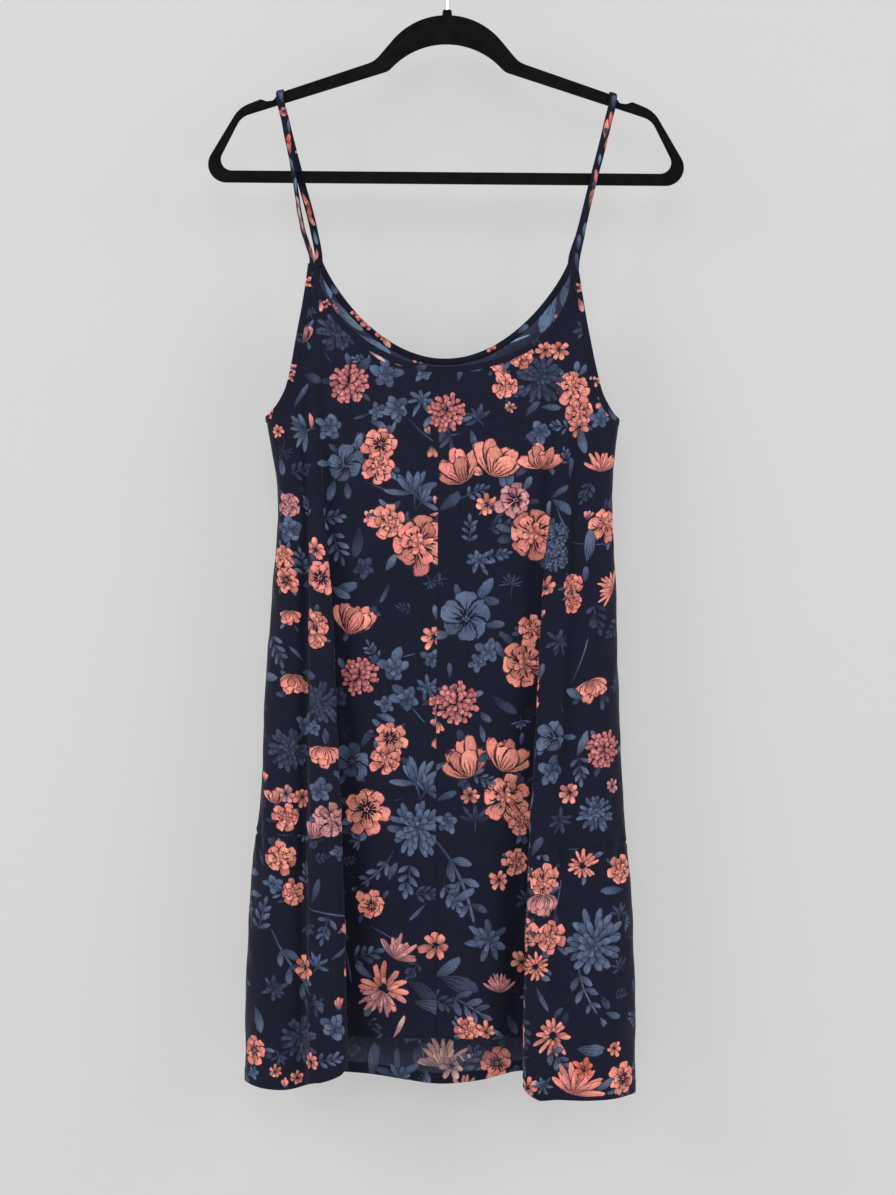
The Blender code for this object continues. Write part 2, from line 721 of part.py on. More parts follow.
def make_hook(finish):
    """A bent wire: a straight shank, a small reverse bend and most of a circle."""
    radius = HOOK_INNER_RADIUS + HOOK_WIRE_RADIUS
    reverse = 12.0
    centre_z = -HOOK_INNER_RADIUS
    start = -math.acos(reverse / (radius + reverse))
    bend_z = centre_z + (radius + reverse) * math.sin(start)
    path = [(0.0, -(BOSS_TOP + BORE_DEPTH - 1.0)), (0.0, -(BOSS_TOP + 2.0)), (0.0, bend_z - 4.0)]
    for turn in np.linspace(math.pi, math.pi + start, 8):
        path.append((reverse + reverse * math.cos(turn), bend_z + reverse * math.sin(turn)))
    finish_turn = math.radians(208)
    for turn in np.linspace(start, finish_turn, 26)[1:]:
        path.append((radius * math.cos(turn), centre_z + radius * math.sin(turn)))
    curve = bpy.data.curves.new("hanger_hook", "CURVE")
    curve.dimensions = "3D"
    curve.bevel_depth = HOOK_WIRE_RADIUS * MM
    curve.bevel_resolution = 2
    curve.use_fill_caps = True
    spline = curve.splines.new("POLY")
    spline.points.add(len(path) - 1)
    for point, (x, z) in zip(spline.points, path):
        point.co = (x * MM, 0.0, z * MM, 1.0)
    curve.materials.append(finish)
    made = bpy.data.objects.new("hanger_hook", curve)
    bpy.context.scene.collection.objects.link(made)
    return made


def main():
    for old in list(bpy.data.objects):
        bpy.data.objects.remove(old)
    cloth = material("printed crepe", (0.012, 0.015, 0.036), 0.9)
    flock = material("black flock", (0.004, 0.004, 0.005), 0.95)
    steel = material("plated steel wire", (0.62, 0.63, 0.65), 0.25, metallic=1.0)
    sheets = {(face, side): Sheet(face, side) for face in ("front", "back") for side in UP_SIDE}
    make_dress(sheets, cloth)
    make_bindings(sheets, cloth)
    for side in UP_SIDE:
        make_strap(side, sheets, cloth)
    make_hanger(flock)
    make_hook(steel)


main()
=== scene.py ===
# %% [markdown]
# # A printed sundress on a flocked hanger
# The dress is a loose one of navy viscose crepe with coral and slate flowers. It hangs by
# two thin straps from a black flocked hanger, in front of a pale wall. The solids of the
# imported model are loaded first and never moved; each cloth piece is then remade here as a
# thin, finely divided shell in the same place.

# %% Load the frame
import math
from collections import namedtuple

import bmesh
import bpy
import numpy as np
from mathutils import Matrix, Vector
from mathutils.geometry import delaunay_2d_cdt


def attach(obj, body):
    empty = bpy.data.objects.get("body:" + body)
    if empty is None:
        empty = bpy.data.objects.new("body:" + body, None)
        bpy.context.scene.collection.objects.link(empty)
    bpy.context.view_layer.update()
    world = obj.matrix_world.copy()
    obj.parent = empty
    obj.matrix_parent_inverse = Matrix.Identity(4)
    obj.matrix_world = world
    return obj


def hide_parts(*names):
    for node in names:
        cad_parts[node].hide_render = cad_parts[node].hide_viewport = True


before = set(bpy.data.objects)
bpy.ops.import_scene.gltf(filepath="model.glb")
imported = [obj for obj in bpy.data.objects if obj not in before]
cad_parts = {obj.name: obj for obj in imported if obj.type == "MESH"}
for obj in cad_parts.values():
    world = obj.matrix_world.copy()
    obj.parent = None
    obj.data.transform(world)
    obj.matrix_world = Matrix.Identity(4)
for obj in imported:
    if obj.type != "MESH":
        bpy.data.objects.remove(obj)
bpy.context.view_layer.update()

MM = 0.001

# %% [markdown]
# ## Camera
# A picture of a hanging garment is taken from far away, so it shows little perspective.
# The camera stands 2.2 m in front of the hanger and is turned by half a degree, as the
# picture is. One pixel of the 896 x 1195 picture shows 0.937 mm of the hanger's plane,
# which comes from the hanger's usual length of 445 mm.

# %% Camera
PICTURE = (896.0, 1195.0)
PIXEL = 0.937
CAMERA_AWAY = 2200.0
CAMERA_X, CAMERA_DROP = 5.06, 615.9
CAMERA_ROLL = math.radians(0.45)
SENSOR = 36.0

eye = bpy.data.cameras.new("camera")
eye.sensor_fit = "HORIZONTAL"
eye.sensor_width = SENSOR
eye.lens = SENSOR * CAMERA_AWAY / (PICTURE[0] * PIXEL)
camera = bpy.data.objects.new("camera", eye)
camera.location = (CAMERA_X * MM, -CAMERA_AWAY * MM, -CAMERA_DROP * MM)
camera.rotation_euler = (math.radians(90), -CAMERA_ROLL, 0)
bpy.context.scene.collection.objects.link(camera)
bpy.context.scene.camera = camera


def seen_at(px, py, forward):
    """The x and the drop, in mm, of what shows at a pixel and lies this far forward."""
    across = (px - PICTURE[0] / 2) * PIXEL
    down = (py - PICTURE[1] / 2) * PIXEL
    near = 1 - forward / CAMERA_AWAY
    x = across + CAMERA_ROLL * down
    drop = down - CAMERA_ROLL * across
    return CAMERA_X + x * near, CAMERA_DROP + drop * near


middle_shows = [round(v) for v in seen_at(PICTURE[0] / 2, PICTURE[1] / 2, 0.0)]
print("lens", round(eye.lens, 1), "mm; the picture's middle shows x, drop", middle_shows, "mm")

# %% [markdown]
# ## Finishes as nodes
# Every finish here is a tree of shader nodes, so cloth, flock and steel can be looked at
# from near by without any picture file. A few helpers keep the trees short: each adds a
# node with its values and links in one call.

# %% Nodes and colours
def linear(hex_colour, alpha=1.0):
    """A hex sRGB colour as linear red, green, blue and alpha."""
    parts = [int(hex_colour[k : k + 2], 16) / 255 for k in (1, 3, 5)]
    return (*[c / 12.92 if c <= 0.04045 else ((c + 0.055) / 1.055) ** 2.4 for c in parts], alpha)


def add_node(tree, kind, values=None, **settings):
    """Adds a node. Each value goes to an input: a number, a colour, or an output to link."""
    made = tree.nodes.new(kind)
    for name, value in settings.items():
        setattr(made, name, value)
    for key, value in (values or {}).items():
        if isinstance(value, bpy.types.NodeSocket):
            tree.links.new(value, made.inputs[key])
        else:
            made.inputs[key].default_value = value
    return made


def new_material(name):
    made = bpy.data.materials.new(name)
    made.use_nodes = True
    return made, made.node_tree, made.node_tree.nodes["Principled BSDF"]


def mixed(tree, share, one, other):
    """A colour between two others: a share of 0 gives the first, 1 the second."""
    values = {0: share, 6: one, 7: other}
    return add_node(tree, "ShaderNodeMix", values, data_type="RGBA").outputs[2]


def noise(tree, place, scale, detail):
    """The grey of a noise texture."""
    values = {"Vector": place, "Scale": scale, "Detail": detail}
    return add_node(tree, "ShaderNodeTexNoise", values).outputs[0]


print("mid grey, #808080, is", round(linear("#808080")[0], 3), "in linear light")

# %% [markdown]
# ## Wall, floor and light
# The dress hangs just in front of a pale wall, which shows as a soft shadow below its hem.
# The wall casts no shadow and is clear from its back, so the back of the dress can be
# looked at too. Three large soft lights stand in front and one behind.

# %% Wall, floor and light
WALL_Y, FLOOR_Z, STAGE_HALF = 0.062, -1.36, 4.0


def add_stage(name, corners, colour, glow=0.0, clear_behind=False):
    mesh = bpy.data.meshes.new(name)
    mesh.from_pydata(corners, [], [(0, 1, 2, 3)])
    finish, tree, shader = new_material(name)
    shader.inputs["Base Color"].default_value = linear(colour)
    shader.inputs["Roughness"].default_value = 0.95
    shader.inputs["Emission Color"].default_value = linear("#ffffff")
    shader.inputs["Emission Strength"].default_value = glow
    if clear_behind:
        side = add_node(tree, "ShaderNodeNewGeometry")
        clear = add_node(tree, "ShaderNodeBsdfTransparent")
        mix = add_node(tree, "ShaderNodeMixShader", {0: side.outputs["Backfacing"]})
        tree.links.new(shader.outputs[0], mix.inputs[1])
        tree.links.new(clear.outputs[0], mix.inputs[2])
        tree.links.new(mix.outputs[0], tree.nodes["Material Output"].inputs["Surface"])
    mesh.materials.append(finish)
    made = bpy.data.objects.new(name, mesh)
    bpy.context.scene.collection.objects.link(made)
    return made


wide = STAGE_HALF
wall = add_stage(
    "wall",
    [(-wide, WALL_Y, FLOOR_Z), (wide, WALL_Y, FLOOR_Z), (wide, WALL_Y, wide), (-wide, WALL_Y, wide)],
    "#929291",
    glow=0.41,
    clear_behind=True,
)
wall.visible_shadow = False
add_stage(
    "floor",
    [(-wide, -wide, FLOOR_Z), (wide, -wide, FLOOR_Z), (wide, wide, FLOOR_Z), (-wide, wide, FLOOR_Z)],
    "#d9d9d8",
)

Light = namedtuple("Light", "name place aim size power")
LIGHTS = (
    Light("light_left", (-2.7, -1.9, 0.8), (0, 0, -0.6), 1.6, 46.0),
    Light("light_right", (2.8, -1.9, 0.6), (0, 0, -0.6), 1.6, 38.0),
    Light("light_front", (-0.2, -3.2, 1.0), (0, 0, -0.7), 1.6, 27.0),
    Light("light_behind", (0.6, 2.6, 0.8), (0, 0, -0.6), 2.0, 30.0),
)
for light in LIGHTS:
    lamp = bpy.data.lights.new(light.name, "AREA")
    lamp.energy = light.power
    lamp.size = light.size
    holder = bpy.data.objects.new(light.name, lamp)
    holder.location = light.place
    way = Vector(light.aim) - Vector(light.place)
    holder.rotation_euler = way.to_track_quat("-Z", "Y").to_euler()
    bpy.context.scene.collection.objects.link(holder)

world = bpy.data.worlds.new("studio")
world.use_nodes = True
world.node_tree.nodes["Background"].inputs["Color"].default_value = linear("#e4e4e6")
world.node_tree.nodes["Background"].inputs["Strength"].default_value = 0.34
bpy.context.scene.world = world
bpy.context.scene.view_settings.view_transform = "Standard"
print(len(LIGHTS), "lights, and the wall", WALL_Y, "m behind the hanger")

# %% [markdown]
# ## How the dress hangs
# Loose cloth that hangs from two points falls in a few large folds. Here they are worked
# out from cross sections: at each level a short row of control points, with a smooth curve
# through them. The tables are nearly those of the solids, so each shell lies where they
# do. A place on the cloth is (place along the section, drop below the origin), where the
# place counts the section's control points and the drop is in millimetres.

# %% Tables of the cut
CLOTH_THICK = 0.7
BINDING_WIDTH = 6.5
STRAP_WIDTH = 7.5
SIDES = {"left": -1.0, "right": 1.0}
FRONT_SPANS, BACK_SPANS = 14, 7

Neckline = namedtuple("Neckline", "reach top foot bow round")
NECKS = {
    ("front", "left"): Neckline(reach=116.0, top=305.0, foot=400.0, bow=1.8, round=0.58),
    ("front", "right"): Neckline(reach=122.0, top=310.0, foot=400.0, bow=2.1, round=0.47),
    ("back", "left"): Neckline(reach=115.0, top=301.0, foot=391.2, bow=2.0, round=0.86),
    ("back", "right"): Neckline(reach=115.0, top=301.0, foot=391.2, bow=2.0, round=0.86),
}
# The armhole from the strap down to its foot: drop, and how far out of the strap's corner
ARMHOLE = (
    (312, 7.5), (338, 12.0), (357, 15.3), (376, 19.0), (395, 22.8), (413, 27.2),
    (423, 30.3), (432, 34.6), (440, 39.6), (446, 46.0), (447.5, 52.5),
)
Mark = namedtuple("Mark", "place seam hem")
LEVELS = {
    ("front", "left"): (
        Mark(0.0, 797.0, 1026.5), Mark(2.0, 797.0, 1026.5), Mark(3.4, 821.0, 1037.0),
        Mark(4.8, 821.0, 1037.0), Mark(6.2, 845.5, 1051.0), Mark(8.4, 841.0, 1062.5),
        Mark(11.0, 836.0, 1070.5), Mark(14.0, 836.5, 1064.5),
    ),
    ("front", "right"): (
        Mark(0.0, 797.0, 1026.5), Mark(2.0, 797.0, 1026.5), Mark(3.4, 824.0, 1045.0),
        Mark(4.8, 824.0, 1045.0), Mark(6.2, 855.0, 1066.0), Mark(8.4, 852.0, 1077.0),
        Mark(11.0, 846.5, 1077.0), Mark(14.0, 842.5, 1072.5),
    ),
    ("back", "left"): (
        Mark(0.0, 836.0, 1076.5), Mark(2.2, 836.0, 1065.5), Mark(7.0, 836.5, 1064.5),
    ),
    ("back", "right"): (
        Mark(0.0, 836.0, 1076.5), Mark(2.2, 837.0, 1064.5), Mark(7.0, 842.5, 1072.5),
    ),
}
Body = namedtuple("Body", "drop front_middle back_middle left right front back")
BODY = (
    Body(295, -4.5, 0.0, 165.0, 163.5, 7.5, 6.5),
    Body(395, -4.5, 0.0, 165.5, 163.5, 9.5, 8.0),
    Body(449, -4.7, 0.0, 166.5, 164.0, 11.0, 9.5),
    Body(470, -4.7, 0.0, 162.5, 161.0, 11.0, 10.5),
    Body(505, -4.8, 0.4, 156.3, 158.0, 11.0, 11.5),
    Body(618, -5.0, 1.0, 159.8, 162.5, 12.0, 14.0),
    Body(712, -5.0, 1.0, 164.7, 165.5, 12.0, 16.0),
    Body(826, -4.4, 1.0, 170.4, 171.6, 12.0, 18.0),
    Body(850, -4.2, 1.0, 173.6, 173.4, 12.0, 19.0),
    Body(882, -3.8, 1.0, 176.4, 177.2, 12.0, 20.0),
    Body(955, -3.0, 1.0, 179.7, 181.0, 12.0, 22.0),
    Body(1110, -1.5, 1.0, 180.5, 183.2, 12.0, 25.0),
)
Fold = namedtuple("Fold", "drop edge root tuck lift lobe dip")
FOLDS = {
    "left": (
        Fold(295, 115.0, 127.0, 0.0, 0.0, 0.0, 0.0),
        Fold(360, 116.5, 125.5, 0.0, 0.5, 0.0, 0.3),
        Fold(420, 115.6, 125.3, 0.0, 4.0, 2.0, 2.0),
        Fold(505, 112.3, 125.0, 2.0, 8.5, 5.0, 3.5),
        Fold(618, 102.5, 123.9, 8.0, 15.0, 9.0, 5.0),
        Fold(712, 97.8, 123.3, 13.0, 20.0, 13.0, 6.0),
        Fold(826, 91.9, 123.2, 17.0, 25.0, 18.0, 7.0),
        Fold(955, 86.5, 123.0, 20.0, 30.0, 23.0, 7.0),
        Fold(1110, 83.5, 123.0, 22.0, 34.0, 28.0, 6.0),
    ),
    "right": (
        Fold(295, 103.0, 121.0, 0.0, 0.0, 0.0, 0.0),
        Fold(390, 103.5, 120.5, 0.0, 0.3, 0.0, 0.0),
        Fold(440, 103.0, 119.3, 1.0, 4.0, 2.5, 1.5),
        Fold(505, 99.8, 117.5, 3.0, 8.0, 5.5, 3.0),
        Fold(618, 92.2, 114.8, 8.0, 14.0, 10.5, 4.0),
        Fold(712, 88.4, 111.0, 13.0, 19.0, 15.5, 4.0),
        Fold(826, 82.6, 106.6, 17.0, 24.5, 21.5, 3.0),
        Fold(955, 78.5, 103.4, 20.0, 30.0, 28.0, 2.0),
        Fold(1110, 77.5, 101.5, 22.0, 35.0, 33.5, 2.0),
    ),
}
Wave = namedtuple("Wave", "share left right")
BACK_WAVES = (
    Wave(0.24, 3.0, -2.0),
    Wave(0.42, -5.0, 5.0),
    Wave(0.60, 5.0, -4.0),
    Wave(0.78, -3.0, 4.0),
    Wave(0.92, 0.0, 0.0),
)
WAVES_START, WAVES_FULL = 420.0, 1000.0
print("side seams, row by row,", [round(row.left + row.right) for row in BODY], "mm apart")

# %% [markdown]
# ## Smooth curves
# Cloth bends without kinks, so a few control points are enough where the curve through
# them is smooth. A Hermite curve passes through its points, unlike a subdivided cage, so
# what was measured for a point is what shows there.

# %% Smooth curves
def weights(share):
    """How much a start, the slope there, an end and the slope there count on a smooth curve."""
    two, three = share**2, share**3
    return 2 * three - 3 * two + 1, three - 2 * two + share, 3 * two - 2 * three, three - two


def hermite(before, start, end, after, share):
    """A point between start and end on the smooth curve through all four."""
    length = np.maximum(np.linalg.norm(end - start, axis=-1, keepdims=True), 1e-6)
    back = np.maximum(np.linalg.norm(start - before, axis=-1, keepdims=True), 1e-6)
    on = np.maximum(np.linalg.norm(after - end, axis=-1, keepdims=True), 1e-6)
    leave = ((start - before) / back * length + (end - start) / length * back) / (back + length)
    reach = ((end - start) / length * on + (after - end) / on * length) / (on + length)
    a, b, c, d = weights(share)
    return a * start + b * leave * length + c * end + d * reach * length


def along(points, place):
    """Points on the smooth curve through the control points, at places 0 to their count less one."""
    last = len(points) - 1
    span = np.clip(np.floor(place).astype(int), 0, last - 1)
    share = (place - span)[..., None]
    first, final = np.clip(span - 1, 0, last), np.clip(span + 2, 0, last)
    rows = np.arange(points.shape[1])
    opening = 2 * points[0, rows] - points[1, rows]
    closing = 2 * points[last, rows] - points[last - 1, rows]
    before = np.where((span == 0)[..., None], opening, points[first, rows])
    after = np.where((span == last - 1)[..., None], closing, points[final, rows])
    return hermite(before, points[span, rows], points[span + 1, rows], after, share)


def column_of(rows, field, drop):
    """A column of a table at any drop, eased between its rows."""
    drops = np.array([row.drop for row in rows], float)
    values = np.array([getattr(row, field) for row in rows], float)
    slopes = np.gradient(values, drops)
    place = np.clip(drop, drops[0], drops[-1])
    row = np.clip(np.searchsorted(drops, place) - 1, 0, len(rows) - 2)
    size = drops[row + 1] - drops[row]
    share = (place - drops[row]) / size
    a, b, c, d = weights(share)
    sloping = b * slopes[row] * size
    return a * values[row] + sloping + c * values[row + 1] + d * slopes[row + 1] * size


def eased(value, start=0.0, end=1.0):
    """A smooth step from 0 at start to 1 at end."""
    share = np.clip((value - start) / (end - start), 0.0, 1.0)
    return share**2 * (3 - 2 * share)


print("a step eased from 0 to 1:", [round(float(eased(v)), 2) for v in (0.25, 0.5, 0.75)])

# %% [markdown]
# ## Cross sections
# Seen from above, the front lies flat in its middle, folds back under itself beside each
# strap and then runs out to the side seam. The fold grows towards the hem, so its points
# come from a table row: where its edge and root lie, and how far it stands forward. The
# back only waves. A cloth simulation would be the other way, but it falls as it likes,
# and these folds have to fall as they do in the picture.

# %% Cross sections
def stacked(*points):
    return np.stack([np.stack(point, -1) for point in points])


def front_section(side, drop):
    """Control points of the front from its centre seam out to the side, as (out, forward)."""
    row = FOLDS[side]
    edge, root, tuck, lift, lobe, dip = (column_of(row, name, drop) for name in Fold._fields[1:])
    middle = SIDES[side] * column_of(BODY, "front_middle", drop)
    flat = column_of(BODY, "front", drop)
    half = column_of(BODY, side, drop) - middle
    edge, root = edge - middle, root - middle
    width, outer = root - edge, half - root
    ease = 0.45 * width * np.maximum(1.0 - tuck / 8.0, 0.0)
    deep = np.maximum(lift - 6.0, 0.0)
    # The flat middle, the hollow under the lip, the lip, the fold's top, its root, the side
    return stacked(
        (0 * half, flat),
        (edge - 17, flat),
        (edge - 5 - ease, flat + 0.02 * lift - 0.30 * deep),
        (edge + 0.6 * tuck - 0.65 * ease, flat + 0.10 * lift - 0.42 * deep),
        (edge + tuck - 0.35 * ease, flat + 0.30 * lift - 0.15 * deep),
        (edge + 0.6 * tuck, flat + 0.52 * lift),
        (edge + 0.35 * ease, flat + 0.80 * lift),
        (edge + 0.12 * width + 0.5 * ease, flat + lift),
        (edge + 0.55 * width, flat + 1.04 * lift),
        (root - 0.15 * width, flat + 0.97 * lift),
        (root + 2, flat + lobe - dip),
        (root + 0.35 * outer, flat + lobe),
        (root + 0.75 * outer, flat + 0.85 * lobe),
        (half - 1.2, 0.45 * (flat + lobe)),
        (half, 0 * half),
    )


def back_section(side, drop):
    """Control points of the back from its centre out to the side, as (out, forward)."""
    half = column_of(BODY, side, drop) - SIDES[side] * column_of(BODY, "back_middle", drop)
    flat = column_of(BODY, "back", drop)
    grown = np.clip((drop - WAVES_START) / (WAVES_FULL - WAVES_START), 0, 1)
    waves = [(wave.share * half, -flat - getattr(wave, side) * grown) for wave in BACK_WAVES]
    return stacked((0 * half, -flat), *waves, (half - 1.2, -0.45 * flat), (half, 0 * half))


low_front = front_section("left", np.array([LEVELS["front", "left"][-1].hem]))
print("at the hem the front stands", round(float(low_front[..., 1].max())), "mm forward")

# %% [markdown]
# A half of the front or the back is one smooth surface. The print is drawn on the cloth
# while it is flat, so each surface also knows how far out from the middle each of its
# places lies when the cloth is flat, and can find the place again from there.

# %% One half of the front or the back
ROW_STEP = 4.0
FLAT_STEPS = 480


class Drape:
    """One half of the front or the back, as a smooth surface over (place, drop)."""

    def __init__(self, face, side):
        self.face, self.side = face, side
        self.section = front_section if face == "front" else back_section
        self.last = FRONT_SPANS if face == "front" else BACK_SPANS
        self.neck = NECKS[face, side]
        self.drops = np.arange(290.0, 1112.0, ROW_STEP)
        self.places = np.linspace(0, self.last, 24 * self.last + 1)
        grid = self.outline(*np.broadcast_arrays(self.places[:, None], self.drops))
        steps = np.linalg.norm(np.diff(grid, axis=0), axis=-1)
        self.reach = np.concatenate([np.zeros((1, len(self.drops))), np.cumsum(steps, 0)])
        shares = np.linspace(0, 1, FLAT_STEPS + 1)
        rows = [np.interp(shares * reach[-1], reach, self.places) for reach in self.reach.T]
        self.found = np.array(rows)

    def outline(self, place, drop):
        shape = np.shape(place)
        place, drop = np.ravel(place), np.ravel(drop)
        return along(self.section(self.side, drop), place).reshape(*shape, 2)

    def points(self, place, drop):
        """Places on the cloth's middle surface, in millimetres."""
        place, drop = np.broadcast_arrays(np.asarray(place, float), np.asarray(drop, float))
        found = self.outline(place, drop)
        middle = column_of(BODY, self.face + "_middle", drop)
        return np.stack([middle + SIDES[self.side] * found[..., 0], -found[..., 1], -drop], -1)

    def normals(self, place, drop):
        """Directions out of the garment, away from its inside."""
        near = 0.04
        low, high = np.clip(place - near, 0, self.last), np.clip(place + near, 0, self.last)
        across = self.points(high, drop) - self.points(low, drop)
        down = self.points(place, drop + 1.0) - self.points(place, drop - 1.0)
        away = np.cross(down, across) * SIDES[self.side] * (1.0 if self.face == "front" else -1.0)
        return away / np.linalg.norm(away, axis=-1, keepdims=True)

    def _rows(self, drop):
        row = np.clip((np.asarray(drop, float) - self.drops[0]) / ROW_STEP, 0, len(self.drops) - 1.001)
        low = np.floor(row).astype(int)
        return low, row - low

    def width(self, drop):
        """The flat width from the middle out to the side seam."""
        low, share = self._rows(drop)
        return self.reach[-1, low] * (1 - share) + self.reach[-1, low + 1] * share

    def place_of(self, out, drop):
        """The places that lie this far out when the cloth is flat."""
        low, share = self._rows(drop)
        step = np.clip(out / self.width(drop), 0, 1) * (FLAT_STEPS - 0.001)
        first = np.floor(step).astype(int)
        part = step - first
        upper = self.found[low, first] * (1 - part) + self.found[low, first + 1] * part
        lower = self.found[low + 1, first] * (1 - part) + self.found[low + 1, first + 1] * part
        return upper * (1 - share) + lower * share

    def out_of(self, place, drop):
        """How far out these places lie when the cloth is flat."""
        low, share = self._rows(drop)
        low, share, place = np.ravel(low), np.ravel(share), np.ravel(place)

        def reach_in(rows):
            return np.array([np.interp(p, self.places, self.reach[:, k]) for p, k in zip(place, rows)])

        return reach_in(low) * (1 - share) + reach_in(low + 1) * share

    def level(self, kind, place):
        """The drop of the tier seam or the hem at these places, eased between the marks."""
        marks = LEVELS[self.face, self.side]
        place = np.asarray(place, float)
        found = np.full(place.shape, float(getattr(marks[0], kind)))
        for start, end in zip(marks, marks[1:]):
            share = eased(place, start.place, end.place)
            found = found + (getattr(end, kind) - getattr(start, kind)) * share
        return found

    def bound_edges(self):
        """The neckline from its middle and the armhole from its foot, each up to the strap.

        Both are arrays of (out, drop) on the flat cloth, with the directions into the cloth.
        """
        neck = self.neck
        share = np.sin(np.linspace(0, math.pi / 2, 200))
        drops = neck.top + (neck.foot - neck.top) * (1 - share**neck.bow) ** neck.round
        line = np.stack([neck.reach * share, drops], -1)
        drops, reach = np.array(ARMHOLE, float).T
        drops[0] = neck.top
        scale = (float(self.width(drops[-1])) - neck.reach) / reach[-1]
        reach = reach * (1 + (scale - 1) * (reach / reach[-1]) ** 2)
        control = np.stack([neck.reach + reach, drops], -1)[:, None]
        arm = along(control, np.linspace(0, len(ARMHOLE) - 1, 200)[:, None])[::-1, 0]
        return [(found, into_cloth(found)) for found in (line, arm)]

    def inner_edges(self, inward):
        """Both lines moved into the cloth, each with the row where they meet, and the tip there."""
        neck, arm = (line + inward * way for line, way in self.bound_edges())
        apart = np.linalg.norm(neck[:, None] - arm[None], axis=-1)
        i, j = np.unravel_index(np.argmin(apart), apart.shape)
        return (neck, i), (arm, j), (neck[i] + arm[j]) / 2


def into_cloth(line):
    """Unit directions square to a bound edge, into the cloth. Each line runs up to the strap."""
    way = np.gradient(line, axis=0)
    way /= np.linalg.norm(way, axis=1, keepdims=True)
    square = np.stack([-way[:, 1], way[:, 0]], -1)
    square *= np.sign(np.sum(square[:, 1]))
    square[0] = 0.0, 1.0
    return square


DRAPES = {(face, side): Drape(face, side) for face in ("front", "back") for side in SIDES}
flat_widths = [round(float(DRAPES["front", side].width(1060))) for side in SIDES]
print("the front's halves are", flat_widths, "mm wide when flat, near the hem")

# %% [markdown]
# ## Fine relief
# Between its large folds the cloth is never quite flat. Where the tier is gathered into
# its seam small puckers run down from it, each seam lies in a shallow groove with its
# allowance showing as a faint ridge beside it, the hem is a band turned up once, and long
# soft creases cross the cloth. All of these only move the cloth along its own normal, so
# they can be added up: that is quicker than sculpting, and each one keeps its own size.

# %% Fine relief
HEM_BAND, HEM_STEP, HEM_WAVE = 10.5, 0.3, 0.22
MIDDLE_SEAM, MIDDLE_RIDGE = 0.45, 0.22
TIER_SEAM, TIER_RIDGE = 1.0, 0.3
PUCKER, PUCKER_FADES_DOWN, PUCKER_FADES_UP = 0.95, 30.0, 12.0
Crease = namedtuple("Crease", "out top foot lean width depth")
CREASES = {
    ("front", "left"): (
        Crease(22, 470, 790, -6, 9, -0.9), Crease(58, 400, 700, 8, 8, -0.8),
        Crease(84, 420, 780, -8, 7, 0.9), Crease(40, 840, 1015, 7, 8, -1.0),
        Crease(78, 830, 1020, -4, 7, 0.8), Crease(190, 520, 820, 6, 7, -1.0),
        Crease(215, 560, 1040, 9, 8, 0.9),
    ),
    ("front", "right"): (
        Crease(26, 480, 760, 5, 10, -0.8), Crease(62, 430, 780, -9, 8, 0.9),
        Crease(88, 520, 790, 5, 6, -0.8), Crease(34, 850, 1010, -5, 8, 0.8),
        Crease(66, 820, 1020, 6, 7, -1.0), Crease(186, 500, 800, -5, 7, 1.0),
        Crease(214, 540, 1050, 8, 8, -0.9),
    ),
    ("back", "left"): (
        Crease(48, 430, 820, 9, 12, -1.1), Crease(112, 480, 1040, 12, 12, 1.2),
        Crease(158, 520, 1040, 10, 10, -0.9),
    ),
    ("back", "right"): (
        Crease(36, 450, 800, 8, 11, 1.0), Crease(96, 500, 1050, 12, 12, -1.2),
        Crease(150, 520, 830, 9, 10, 0.9),
    ),
}
Ripple = namedtuple("Ripple", "across down phase height")
RIPPLES = (
    Ripple(23.0, 61.0, 0.4, 0.16),
    Ripple(-31.0, 74.0, 2.1, 0.16),
    Ripple(14.0, 43.0, 4.0, 0.10),
    Ripple(-17.0, 38.0, 1.2, 0.09),
    Ripple(47.0, -96.0, 5.2, 0.22),
)


def groove(distance, width):
    """A soft bell of height 1 across a line, for a groove or a ridge."""
    return np.exp(-((distance / width) ** 2))


def relief(drape, place, out, drop):
    """How far the cloth stands out of the smooth surface, in millimetres."""
    height = np.zeros(len(out))
    for ripple in RIPPLES:
        turn = 2 * math.pi * (out / ripple.across + drop / ripple.down) + ripple.phase
        height += ripple.height * np.sin(turn)
    for crease in CREASES[drape.face, drape.side]:
        down = (drop - crease.top) / (crease.foot - crease.top)
        inside = eased(down, 0.0, 0.25) * (1 - eased(down, 0.7, 1.0))
        height += crease.depth * inside * groove(out - crease.out - crease.lean * down, crease.width)
    seam = drop - drape.level("seam", place)
    hem = drape.level("hem", place) - drop
    if drape.face == "front":
        full = 0.15 + 0.85 * eased(place, 5.5, 9.0)
        height -= MIDDLE_SEAM * groove(out, 1.0)
        height += MIDDLE_RIDGE * groove(out - 6.0, 3.0)
    else:
        full = 0.55 + 0.45 * np.sin(out / 19.0) ** 2
    fade = np.exp(-np.abs(seam) / np.where(seam > 0, PUCKER_FADES_DOWN, PUCKER_FADES_UP))
    pucker = np.sin(out / 1.75 + 1.3 * np.sin(out / 8.1)) + 0.6 * np.sin(out / 2.9 + 0.7)
    height += PUCKER * full * fade * pucker * eased(np.abs(seam), 0.0, 4.0)
    height -= TIER_SEAM * groove(seam, 1.5)
    height += TIER_RIDGE * groove(seam + 4.0, 2.5)
    height += HEM_STEP * (1 - eased(hem, HEM_BAND - 0.8, HEM_BAND + 0.8))
    height -= HEM_STEP * groove(hem - HEM_BAND, 0.9)
    wave = np.sin(out / 3.6 + 0.9 * np.sin(out / 11.0))
    height += HEM_WAVE * (1 - eased(hem, 6.0, 22.0)) * wave
    return height


